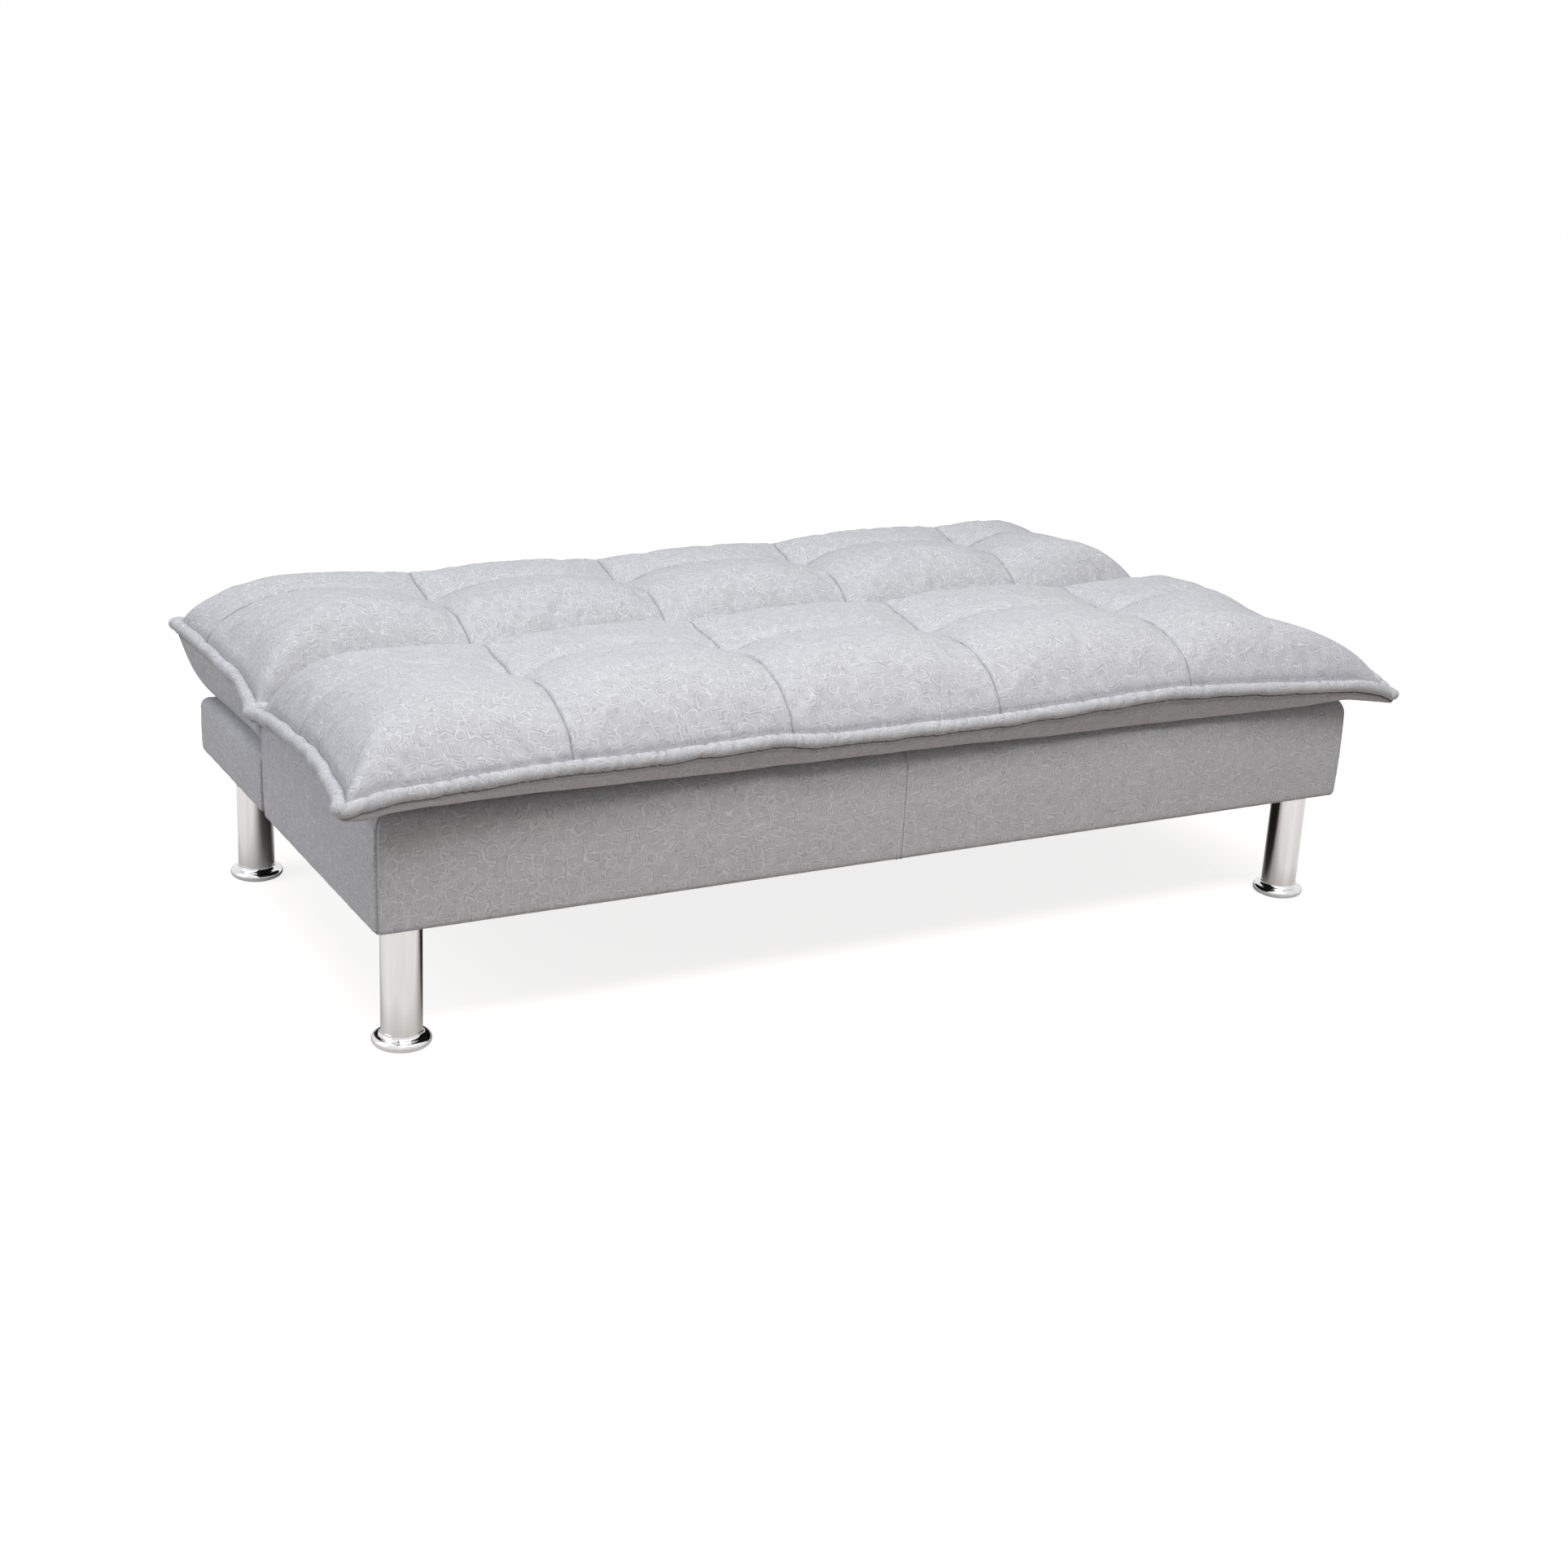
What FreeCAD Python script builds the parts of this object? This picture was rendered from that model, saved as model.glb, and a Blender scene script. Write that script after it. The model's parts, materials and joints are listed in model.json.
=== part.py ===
import FreeCAD, Part
import math
import os
from FreeCAD import Vector

# Click-clack sofa bed, lying flat as a bed. Millimetres, +Z up, +X to the right, +Y to the back.
# The origin is on the floor, in the middle of the whole part.

# ---- upholstered boxes ----
box_width = 1747.0            # both boxes, side to side
floor_gap = 191.0             # underside of the seat box above the floor
seat_box_depth = 541.0
seat_box_height = 176.0
back_box_depth = 366.0
back_box_height = 89.0
back_box_lift = 3.0           # underside of the back box above the underside of the seat box
joint_gap = 6.0               # between the two boxes when the bed lies flat

cover_thickness = 2.0
side_foam = 8.0
seat_top_foam = 25.0
back_top_foam = 20.0
seat_top_radius = 28.0        # padded edge round the top of the seat box
back_top_radius = 18.0
bottom_radius = 8.0
corner_radius = 16.0          # upright corners of both boxes
hem_width = 30.0              # cover turned under the box
dust_cloth_thickness = 1.0

# ---- timber frames ----
side_rail_thickness = 25.0
cross_rail_width = 40.0
cross_rail_count = 2
strap_width = 50.0            # elastic webbing
strap_thickness = 2.0
strap_count = 9
long_strap_count = 4
block_width = 66.0            # blocks behind the legs and outriggers
block_height = 43.0
front_block_length = 66.0
rear_block_length = 206.0

# ---- legs ----
leg_radius = 30.0
leg_wall = 1.5
leg_inset_side = 56.5         # leg axis from the side of the box
leg_inset_front = 56.3        # leg axis from the front of the box
rear_leg_from_front = 788.0   # rear leg axis from the front of the box
foot_radius = 43.5
foot_height = 22.0
foot_spigot = 24.0
pad_radius = 36.0
pad_thickness = 3.0
pad_proud = 1.0               # pad below the chrome foot
cap_thickness = 3.0
stud_radius = 4.0
hole_clearance = 0.15
tee_flange_radius = 11.0      # tee nuts let into the timber blocks
tee_flange_thickness = 1.5
tee_barrel_radius = 5.4
tee_barrel_length = 12.0

# ---- steel outriggers that carry the rear legs ----
outrigger_width = 40.0
outrigger_height = 25.0
outrigger_wall = 2.0
outrigger_corner = 4.0
outrigger_start = 290.0       # front end, from the front of the box
outrigger_past_leg = 40.0
outrigger_bolt_inset = 45.0
buffer_radius = 14.0
buffer_inset = 145.0          # from the rear of the back box
rest_clearance = 0.3          # back box above the buffers that stop it

# ---- click-clack hinge ----
pivot_below_top = 15.0        # pivot under the top of the seat box
release_angle = 78.0          # full travel of the back, from flat
sofa_angle = 70.0
lounge_angle = 40.0
hinge_plate = 4.0
hinge_side_gap = 0.5          # between the ratchet and each cheek
ratchet_radius = 26.0
pivot_pin_radius = 6.0
pin_running_clearance = 0.06
pin_head = 3.0
cheek_radius = 15.0
tooth_angle = 200.0           # where the pawl meets the ratchet, from +Y towards +Z
tooth_radius = 2.6
tooth_rest_gap = 0.5          # pawl tooth above the ratchet rim at rest
tooth_height = 4.9
pawl_length = 24.0
pawl_hub_radius = 7.5
pawl_pin_radius = 4.0
pawl_travel = 8.0             # degrees from rest to fully in a notch
hinge_bolt_radius = 4.0
hinge_bolt_head = 4.5
slot_clearance = 2.0          # covers and foam round the hinge
arm_neck_radius = 17.0
arm_elbow_radius = 13.0
arm_elbow_back = 50.0         # elbow of the arm, from the pivot
arm_elbow_drop = 60.0
arm_foot_back = 68.0          # first bolt of the arm, behind the pivot
arm_foot_height = 40.0        # bolts of the arm, above the underside of the back box
back_bolt_run = 80.0          # between the bolts of the ratchet arm
bracket_foot_front = 66.0     # first bolt of the bracket, in front of the pivot
bracket_foot_drop = 34.0
seat_bolt_run = 62.0          # between the bolts of the seat bracket
foot_end_radius = 14.0
post_front = 46.0             # post that keeps the two cheeks apart
post_drop = 38.0
post_radius = 5.0
rivet_radius = 3.0

# ---- cushions ----
bed_height = 520.0            # crown of the cushions above the floor, in the middle of the bed
crown_rise = 18.0             # the right end of the bed is stuffed this much higher than the left
front_overhang = 70.0         # corners of the seat cushion past the front of the box
rear_overhang = 39.0
front_corner_half = 942.0     # half width across the front corners
joint_corner_half = 888.0     # half width where the cushions meet
rear_corner_half = 915.0
front_pull_in = 26.0          # hollow of the long front edge between its corners
rear_pull_in = 14.0
side_pull_in = 26.0
front_edge = 395.0            # sewn edge above the floor, at the corners
joint_edge = 370.0
rear_edge = 405.0
front_edge_arch = 34.0        # extra height of the sewn edge in the middle of a long side
joint_edge_arch = 12.0
rear_edge_arch = 6.0
front_edge_run = 150.0        # from the sewn edge in to the full crown
rear_edge_run = 90.0
side_edge_run = 165.0
edge_power = 0.6              # 1 rises evenly from the edge, less is more tightly stuffed
corner_power = 4.0            # how full the corners are, less is hollower
seat_under_run = 84.0         # underside, from the sewn edge in to the flat that lies on the box
back_under_run = 62.0
side_under_run = 62.0
joint_under_run = 10.0
cushion_gap = 2.0             # between the cushions at the pivot
cross_seam_count = 4
seam_pitch = 363.0
seat_seam_offset = -8.0       # middle of the cross seams at the joint, right of the middle of the bed
back_seam_offset = 28.0
seat_seam_lean = 49.0         # front end of a seat seam, left of its joint end
seat_seam_reach = 304.0       # lengthwise seams, from the pivot
back_seam_reach = 234.0
seam_bend = 60.0              # the ends of a lengthwise seam turn this far to the back
seam_bend_run = 380.0         # stretch at each end of the seam over which it turns
seam_dip = 8.0                # lengthwise seam below the crown
seam_width = 42.0
cross_dip = 26.0              # cross seam below the crown
cross_width = 66.0
cross_power = 1.25            # above 1 rounds the bottom of a cross seam
cross_fade = 0.5              # share of the cross dip that is lost at the back of each cushion
cross_fade_run = 160.0
tuft_dip = 9.0                # extra dip where the seams meet
tuft_width = 42.0
front_fall = 0.03             # crown's slope down to the long edges, and the seat's towards the joint
joint_fall = 0.06
net_steps = 8                 # net points across each pillow

# ---- places worked out from the sizes above ----
overall_depth = front_overhang + seat_box_depth + joint_gap + back_box_depth + rear_overhang
half_width = box_width / 2
seat_front = front_overhang - overall_depth / 2
seat_rear = seat_front + seat_box_depth
back_front = seat_rear + joint_gap
back_rear = back_front + back_box_depth
seat_bottom = floor_gap
seat_top = seat_bottom + seat_box_height
back_bottom = seat_bottom + back_box_lift
back_top = back_bottom + back_box_height
skin = cover_thickness + side_foam
frame_half = half_width - skin
rail_inner = frame_half - side_rail_thickness
leg_x = half_width - leg_inset_side
front_leg_y = seat_front + leg_inset_front
rear_leg_y = seat_front + rear_leg_from_front
outrigger_top = seat_bottom
outrigger_bottom = outrigger_top - outrigger_height
outrigger_y0 = seat_front + outrigger_start
outrigger_y1 = rear_leg_y + outrigger_past_leg
pivot_y = seat_rear + joint_gap / 2
pivot_z = seat_top - pivot_below_top
valley_slope = math.tan(math.radians(90 - release_angle / 2))

# hinge plates lie side by side inboard of the side rail
cheek_out_x1 = rail_inner
cheek_out_x0 = cheek_out_x1 - hinge_plate
ratchet_x1 = cheek_out_x0 - hinge_side_gap
ratchet_x0 = ratchet_x1 - hinge_plate
cheek_in_x1 = ratchet_x0 - hinge_side_gap
cheek_in_x0 = cheek_in_x1 - hinge_plate
slot_x0 = cheek_in_x0 - pin_head - slot_clearance
slot_x1 = cheek_out_x1 + slot_clearance


# ---- small helpers ----
def block(x0, x1, y0, y1, z0, z1):
    return Part.makeBox(x1 - x0, y1 - y0, z1 - z0, Vector(x0, y0, z0))


def upright(radius, x, y, z0, z1):
    return Part.makeCylinder(radius, z1 - z0, Vector(x, y, z0), Vector(0, 0, 1))


def pin_along_x(radius, y, z, x0, x1):
    return Part.makeCylinder(radius, x1 - x0, Vector(x0, y, z), Vector(1, 0, 0))


def joined(shapes):
    if len(shapes) == 1:
        return shapes[0]
    return shapes[0].fuse(shapes[1:]).removeSplitter()


def group(shapes):
    return Part.makeCompound(shapes)


def mirrored(shape):
    return shape.mirror(Vector(0, 0, 0), Vector(1, 0, 0))


def both_sides(shape):
    return [mirrored(shape), shape]


def rounded(shape, edges, radius):
    return shape.makeFillet(radius, edges) if radius > 0 else shape


def edges_along(shape, axis):
    found = []
    for edge in shape.Edges:
        ends = edge.Vertexes
        if len(ends) == 2:
            run = ends[1].Point.sub(ends[0].Point)
            if abs(run.normalize().dot(axis)) > 0.999:
                found.append(edge)
    return found


def edges_at_height(shape, z):
    found = []
    for edge in shape.Edges:
        box = edge.BoundBox
        if abs(box.ZMin - z) < 0.01 and abs(box.ZMax - z) < 0.01:
            found.append(edge)
    return found


def capsule(y1, z1, r1, y2, z2, r2, x0, x1):
    """Plate across two round ends with tangent sides."""
    run = math.hypot(y2 - y1, z2 - z1)
    heading = math.atan2(z2 - z1, y2 - y1)
    spread = math.acos((r1 - r2) / run)

    def at(y, z, r, angle):
        return Vector(x0, y + r * math.cos(angle), z + r * math.sin(angle))

    first_a = at(y1, z1, r1, heading + spread)
    first_b = at(y1, z1, r1, heading - spread)
    last_a = at(y2, z2, r2, heading + spread)
    last_b = at(y2, z2, r2, heading - spread)
    edges = [
        Part.makeLine(first_a, last_a),
        Part.Arc(last_a, at(y2, z2, r2, heading), last_b).toShape(),
        Part.makeLine(last_b, first_b),
        Part.Arc(first_b, at(y1, z1, r1, heading + math.pi), first_a).toShape(),
    ]
    return Part.Face(Part.Wire(edges)).extrude(Vector(x1 - x0, 0, 0))


def hinge_point(radius, angle):
    """Height and depth of a point given by its angle round the pivot."""
    turn = math.radians(angle)
    return pivot_y + radius * math.cos(turn), pivot_z + radius * math.sin(turn)


# ---- upholstered boxes ----
def soft_box(x_half, y0, y1, z0, z1, upright_radius, top_radius, low_radius):
    body = block(-x_half, x_half, y0, y1, z0, z1)
    body = rounded(body, edges_along(body, Vector(0, 0, 1)), upright_radius)
    body = rounded(body, edges_at_height(body, z1), top_radius)
    return rounded(body, edges_at_height(body, z0), low_radius)


def lining_of(y0, y1, z0, z1, top_radius):
    """Inside of a box's cover, which is the outside of its foam."""
    t = cover_thickness
    return soft_box(half_width - t, y0 + t, y1 - t, z0 + t, z1 - t,
                    corner_radius - t, top_radius - t, bottom_radius - t)


def box_cover(y0, y1, z0, z1, top_radius):
    outer = soft_box(half_width, y0, y1, z0, z1, corner_radius, top_radius, bottom_radius)
    mouth = block(hem_width - half_width, half_width - hem_width, y0 + hem_width, y1 - hem_width,
                  z0 - 1, z0 + cover_thickness + 1)
    return outer.cut([lining_of(y0, y1, z0, z1, top_radius), mouth])


def box_foam(y0, y1, z0, z1, top_radius, top_foam):
    frame_room = block(-frame_half, frame_half, y0 + skin, y1 - skin, z0, z1 - cover_thickness - top_foam)
    return lining_of(y0, y1, z0, z1, top_radius).cut(frame_room)


def dust_cloth(y0, y1, z0):
    low = z0 + cover_thickness
    cloth = block(-frame_half, frame_half, y0 + skin, y1 - skin, low, low + dust_cloth_thickness)
    return rounded(cloth, edges_along(cloth, Vector(0, 0, 1)), corner_radius - skin)


def frame_levels(z0, z1, top_foam):
    """Underside and top of the timber rails of a box."""
    low = z0 + cover_thickness + dust_cloth_thickness
    high = z1 - cover_thickness - top_foam - 2 * strap_thickness
    return low, high


def frame_rails(y0, y1, low, high):
    front_y = y0 + skin
    rear_y = y1 - skin
    t = side_rail_thickness
    front = block(-rail_inner, rail_inner, front_y, front_y + t, low, high)
    rear = block(-rail_inner, rail_inner, rear_y - t, rear_y, low, high)
    right = block(rail_inner, frame_half, front_y, rear_y, low, high)
    return front, rear, mirrored(right), right


def cross_rails(y0, y1, low, high):
    inner0 = y0 + skin + side_rail_thickness
    inner1 = y1 - skin - side_rail_thickness
    pitch = 2 * rail_inner / (cross_rail_count + 1)
    rails = []
    for i in range(cross_rail_count):
        x = -rail_inner + (i + 1) * pitch
        rails.append(block(x - cross_rail_width / 2, x + cross_rail_width / 2, inner0, inner1, low, high))
    return group(rails)


def webbing(y0, y1, high):
    """Straps from front rail to rear rail, with long ones lying across them."""
    straps = []
    pitch = 2 * rail_inner / strap_count
    for i in range(strap_count):
        x = -rail_inner + (i + 0.5) * pitch
        straps.append(block(x - strap_width / 2, x + strap_width / 2, y0 + skin, y1 - skin,
                            high, high + strap_thickness))
    edge = skin + side_rail_thickness
    long_pitch = (y1 - y0 - 2 * edge) / long_strap_count
    for i in range(long_strap_count):
        y = y0 + edge + (i + 0.5) * long_pitch
        straps.append(block(-frame_half, frame_half, y - strap_width / 2, y + strap_width / 2,
                            high + strap_thickness, high + 2 * strap_thickness))
    return group(straps)


# ---- click-clack hinge, drawn for the right side ----
pawl_root = hinge_point(ratchet_radius + tooth_rest_gap + tooth_radius + tooth_height, tooth_angle)
pawl_nose = hinge_point(ratchet_radius + tooth_rest_gap + tooth_radius, tooth_angle)
pawl_turn = math.radians(tooth_angle + 90)
pawl_y = pawl_nose[0] + pawl_length * math.cos(pawl_turn)
pawl_z = pawl_nose[1] + pawl_length * math.sin(pawl_turn)
seat_foot_y = pivot_y - bracket_foot_front
seat_foot_z = pivot_z - bracket_foot_drop
back_elbow_y = pivot_y + arm_elbow_back
back_elbow_z = pivot_z - arm_elbow_drop
back_foot_y = pivot_y + arm_foot_back
back_foot_z = back_bottom + arm_foot_height
post_y = pivot_y - post_front
post_z = pivot_z - post_drop


def cheek_outline(x0, x1):
    arms = [
        capsule(pivot_y, pivot_z, cheek_radius, pawl_y, pawl_z, 11.0, x0, x1),
        capsule(pivot_y, pivot_z, cheek_radius, post_y, post_z, 10.0, x0, x1),
        capsule(pawl_y, pawl_z, 11.0, post_y, post_z, 10.0, x0, x1),
    ]
    return joined(arms)


def cheek_holes(x0, x1):
    return [
        pin_along_x(pivot_pin_radius, pivot_y, pivot_z, x0, x1),
        pin_along_x(pawl_pin_radius, pawl_y, pawl_z, x0, x1),
        pin_along_x(rivet_radius, post_y, post_z, x0, x1),
    ]


def seat_bolt_places():
    return [(seat_foot_y, seat_foot_z), (seat_foot_y - seat_bolt_run, seat_foot_z)]


def back_bolt_places():
    return [(back_foot_y, back_foot_z), (back_foot_y + back_bolt_run, back_foot_z)]


def seat_bracket():
    """Outer cheek, with the long foot that bolts to the seat frame."""
    x0, x1 = cheek_out_x0, cheek_out_x1
    foot_near, foot_far = seat_bolt_places()
    foot = capsule(foot_near[0], foot_near[1], foot_end_radius, foot_far[0], foot_far[1],
                   foot_end_radius, x0, x1)
    neck = capsule(pivot_y, pivot_z, cheek_radius, foot_near[0], foot_near[1], foot_end_radius, x0, x1)
    holes = cheek_holes(x0, x1)
    for y, z in seat_bolt_places():
        holes.append(pin_along_x(hinge_bolt_radius + hole_clearance, y, z, x0, x1))
    return joined([cheek_outline(x0, x1), neck, foot]).cut(holes)


def inner_cheek():
    return cheek_outline(cheek_in_x0, cheek_in_x1).cut(cheek_holes(cheek_in_x0, cheek_in_x1))


def notch(angle, past=0.0):
    """One notch: a steep wall that holds the back up, and a ramp that lets it rise."""
    x0, x1 = ratchet_x0 - 1, ratchet_x1 + 1
    half = tooth_radius + 0.7
    rim = ratchet_radius + 6
    drop = 2 * pawl_length * math.sin(math.radians(pawl_travel) / 2)
    floor = ratchet_radius + tooth_rest_gap + tooth_radius - drop
    cuts = []
    for step in (angle, angle - past) if past else (angle,):
        inner, outer = hinge_point(floor, step), hinge_point(rim, step)
        cuts.append(capsule(inner[0], inner[1], half, outer[0], outer[1], half, x0, x1))
    ramp = [
        hinge_point(floor - half + 0.4, angle - past),
        hinge_point(rim, angle - past),
        hinge_point(rim, angle - past - 16),
        hinge_point(ratchet_radius, angle - past - 15),
    ]
    corners = [Vector(x0, y, z) for y, z in ramp]
    cuts.append(Part.Face(Part.makePolygon(corners + corners[:1])).extrude(Vector(x1 - x0, 0, 0)))
    if past:
        a, b = hinge_point(floor - half, angle), hinge_point(floor - half, angle - past)
        c, d = hinge_point(rim, angle - past), hinge_point(rim, angle)
        corners = [Vector(x0, y, z) for y, z in (a, b, c, d)]
        cuts.append(Part.Face(Part.makePolygon(corners + corners[:1])).extrude(Vector(x1 - x0, 0, 0)))
    return cuts


def ratchet_arm(grow=0.0):
    """Ratchet disc and cranked arm down into the back frame. grow widens it for the pocket round it."""
    x0, x1 = ratchet_x0 - grow, ratchet_x1 + grow
    near, far = back_bolt_places()
    disc = pin_along_x(ratchet_radius + grow, pivot_y, pivot_z, x0, x1)
    neck = capsule(pivot_y, pivot_z, arm_neck_radius + grow,
                   back_elbow_y, back_elbow_z, arm_elbow_radius + grow, x0, x1)
    end = foot_end_radius + grow
    shank = capsule(back_elbow_y, back_elbow_z, arm_elbow_radius + grow, near[0], near[1], end, x0, x1)
    foot = capsule(near[0], near[1], end, far[0], far[1], end, x0, x1)
    arm = joined([disc, neck, shank, foot])
    if grow:
        return arm
    cuts = [pin_along_x(pivot_pin_radius + pin_running_clearance, pivot_y, pivot_z, x0, x1)]
    for y, z in back_bolt_places():
        cuts.append(pin_along_x(hinge_bolt_radius + hole_clearance, y, z, x0, x1))
    cuts += notch(tooth_angle)
    cuts += notch(tooth_angle - lounge_angle)
    cuts += notch(tooth_angle - sofa_angle, release_angle - sofa_angle)
    return arm.cut(cuts)


def pawl():
    x0, x1 = ratchet_x0, ratchet_x1
    hub = pin_along_x(pawl_hub_radius, pawl_y, pawl_z, x0, x1)
    lever = capsule(pawl_y, pawl_z, 6.0, pawl_root[0], pawl_root[1], 3.5, x0, x1)
    tooth = capsule(pawl_root[0], pawl_root[1], tooth_radius + 0.01, pawl_nose[0], pawl_nose[1],
                    tooth_radius, x0, x1)
    bore = pin_along_x(pawl_pin_radius + pin_running_clearance, pawl_y, pawl_z, x0, x1)
    return joined([hub, lever, tooth]).cut(bore)


def headed_pin(radius, head_radius, y, z):
    """Pin through both cheeks, headed inside and riveted flush in the outer cheek."""
    shank = pin_along_x(radius, y, z, cheek_in_x0, cheek_out_x1)
    head = pin_along_x(head_radius, y, z, cheek_in_x0 - pin_head, cheek_in_x0)
    return joined([shank, head])


def cheek_post():
    """Rivet with a sleeve that holds the cheeks apart; its ends lie flush in the cheeks."""
    rivet = pin_along_x(rivet_radius, post_y, post_z, cheek_in_x0, cheek_out_x1)
    sleeve = pin_along_x(post_radius, post_y, post_z, cheek_in_x1, cheek_out_x0)
    return joined([rivet, sleeve])


def pawl_spring():
    """Bowed leaf from the post up to the back of the pawl."""
    thickness = 0.8
    start = Vector(ratchet_x0, post_y - post_radius, post_z + 1)
    end = Vector(ratchet_x0, pawl_root[0] - 6.4, pawl_root[1] + 2)
    middle = start.add(end).multiply(0.5).add(Vector(0, -4, 2))
    outer_arc = Part.Arc(start, middle, end).toShape()
    shift = Vector(0, thickness, -thickness / 4)
    inner_arc = Part.Arc(start.add(shift), middle.add(shift), end.add(shift)).toShape()
    edges = [
        outer_arc,
        Part.makeLine(end, end.add(shift)),
        inner_arc,
        Part.makeLine(start.add(shift), start),
    ]
    leaf = Part.Face(Part.Wire(Part.__sortEdges__(edges))).extrude(Vector(hinge_plate, 0, 0))
    sleeve = pin_along_x(post_radius, post_y, post_z, ratchet_x0, ratchet_x1)
    return leaf.cut(sleeve)


def hinge_bolt(y, z, head_face, end):
    """Hexagon bolt pointing outwards through the side rail; the nut is let into the rail."""
    shank = pin_along_x(hinge_bolt_radius, y, z, head_face, end)
    head = hex_prism(y, z, 6.5, head_face - hinge_bolt_head, head_face)
    return joined([shank, head])


def hex_prism(y, z, half_flat, x0, x1):
    corner = half_flat / math.cos(math.radians(30))
    points = []
    for i in range(6):
        turn = math.radians(60 * i)
        points.append(Vector(x0, y + corner * math.cos(turn), z + corner * math.sin(turn)))
    return Part.Face(Part.makePolygon(points + points[:1])).extrude(Vector(x1 - x0, 0, 0))


def hinge_slot(front_y, rear_y, low, high):
    """Slot for the cheeks and the ratchet, in both ends of a box."""
    return both_sides(block(slot_x0, slot_x1, front_y, rear_y, low, high))


def hinge_swing(extra):
    """Round room about the pivot for the cheeks and the ratchet disc."""
    return both_sides(pin_along_x(ratchet_radius + extra, pivot_y, pivot_z, slot_x0, slot_x1))


# ---- legs and outriggers ----
def leg_tube(x, y, top):
    low = pad_proud + foot_height
    tube = upright(leg_radius, x, y, low, top - cap_thickness)
    return tube.cut(upright(leg_radius - leg_wall, x, y, low, top - cap_thickness))


def leg_foot(x, y):
    """Chrome foot: a thick rolled rim that sweeps up to the tube, with a spigot inside it."""
    low = pad_proud
    top = low + foot_height
    rim = 7.0
    inner = leg_radius - leg_wall
    bore = inner - 3.0
    sweep_top = Vector(leg_radius, 0, top)
    rim_top = Vector(foot_radius - rim, 0, low + 2 * rim)
    rim_out = Vector(foot_radius, 0, low + rim)
    rim_low = Vector(foot_radius - rim, 0, low)
    sweep_mid = Vector(leg_radius + 1.6, 0, low + 2 * rim + 1.8)
    pad_face = low + pad_thickness - pad_proud
    edges = [
        Part.makeLine(Vector(inner, 0, top), sweep_top),
        Part.Arc(sweep_top, sweep_mid, rim_top).toShape(),
        Part.Arc(rim_top, rim_out, rim_low).toShape(),
        Part.makeLine(rim_low, Vector(pad_radius, 0, low)),
        Part.makeLine(Vector(pad_radius, 0, low), Vector(pad_radius, 0, pad_face)),
        Part.makeLine(Vector(pad_radius, 0, pad_face), Vector(0, 0, pad_face)),
        Part.makeLine(Vector(0, 0, pad_face), Vector(0, 0, pad_face + 2)),
        Part.makeLine(Vector(0, 0, pad_face + 2), Vector(bore, 0, pad_face + 2)),
        Part.makeLine(Vector(bore, 0, pad_face + 2), Vector(bore, 0, top + foot_spigot)),
        Part.makeLine(Vector(bore, 0, top + foot_spigot), Vector(inner, 0, top + foot_spigot)),
        Part.makeLine(Vector(inner, 0, top + foot_spigot), Vector(inner, 0, top)),
    ]
    section = Part.Face(Part.Wire(edges))
    foot = section.revolve(Vector(0, 0, 0), Vector(0, 0, 1), 360)
    foot.translate(Vector(x, y, 0))
    return foot


def floor_pad(x, y):
    return upright(pad_radius, x, y, 0, pad_thickness)


def leg_cap(x, y, top, stud_length):
    """Disc closing the top of the tube, with the threaded stud that fixes the leg."""
    disc = upright(leg_radius, x, y, top - cap_thickness, top)
    stud = upright(stud_radius, x, y, top, top + stud_length)
    return joined([disc, stud])


def tee_nut(x, y, top):
    flange = upright(tee_flange_radius, x, y, top, top + tee_flange_thickness)
    barrel = upright(tee_barrel_radius, x, y, top - tee_barrel_length, top)
    bore = upright(stud_radius, x, y, top - tee_barrel_length, top + tee_flange_thickness)
    return joined([flange, barrel]).cut(bore)


def outrigger():
    """Rectangular steel tube from under the seat to past the rear leg."""
    half = outrigger_width / 2
    x0, x1 = leg_x - half, leg_x + half
    tube = block(x0, x1, outrigger_y0, outrigger_y1, outrigger_bottom, outrigger_top)
    tube = rounded(tube, edges_along(tube, Vector(0, 1, 0)), outrigger_corner)
    t = outrigger_wall
    inside = block(x0 + t, x1 - t, outrigger_y0 - 1, outrigger_y1 + 1,
                   outrigger_bottom + t, outrigger_top - t)
    inside = rounded(inside, edges_along(inside, Vector(0, 1, 0)), outrigger_corner - t)
    holes = [inside]
    hole = stud_radius + hole_clearance
    for y in outrigger_bolt_places():
        holes.append(upright(hole, leg_x, y, outrigger_bottom - 1, outrigger_top + 1))
    holes.append(upright(hole, leg_x, rear_leg_y, outrigger_bottom - 1, outrigger_bottom + t + 1))
    holes.append(upright(hole, leg_x, buffer_y, outrigger_top - t - 1, outrigger_top + 1))
    return tube.cut(holes)


block_top = seat_bottom + block_height
buffer_y = back_rear - buffer_inset


def outrigger_bolt_places():
    first = outrigger_y0 + outrigger_bolt_inset
    second = seat_rear - hem_width - outrigger_bolt_inset
    return [first, second]


def outrigger_bolt(y):
    """Dome-headed bolt up through the outrigger into the block above it."""
    shank = upright(stud_radius, leg_x, y, outrigger_bottom, block_top)
    head = upright(9, leg_x, y, outrigger_bottom - 3.5, outrigger_bottom)
    head = rounded(head, edges_at_height(head, outrigger_bottom - 3.5), 3.0)
    return joined([shank, head])


def rear_leg_nut():
    low = outrigger_bottom + outrigger_wall
    nut = upright(9, leg_x, rear_leg_y, low, low + 6.5)
    return nut.cut(upright(stud_radius, leg_x, rear_leg_y, low, low + 6.5))


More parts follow.
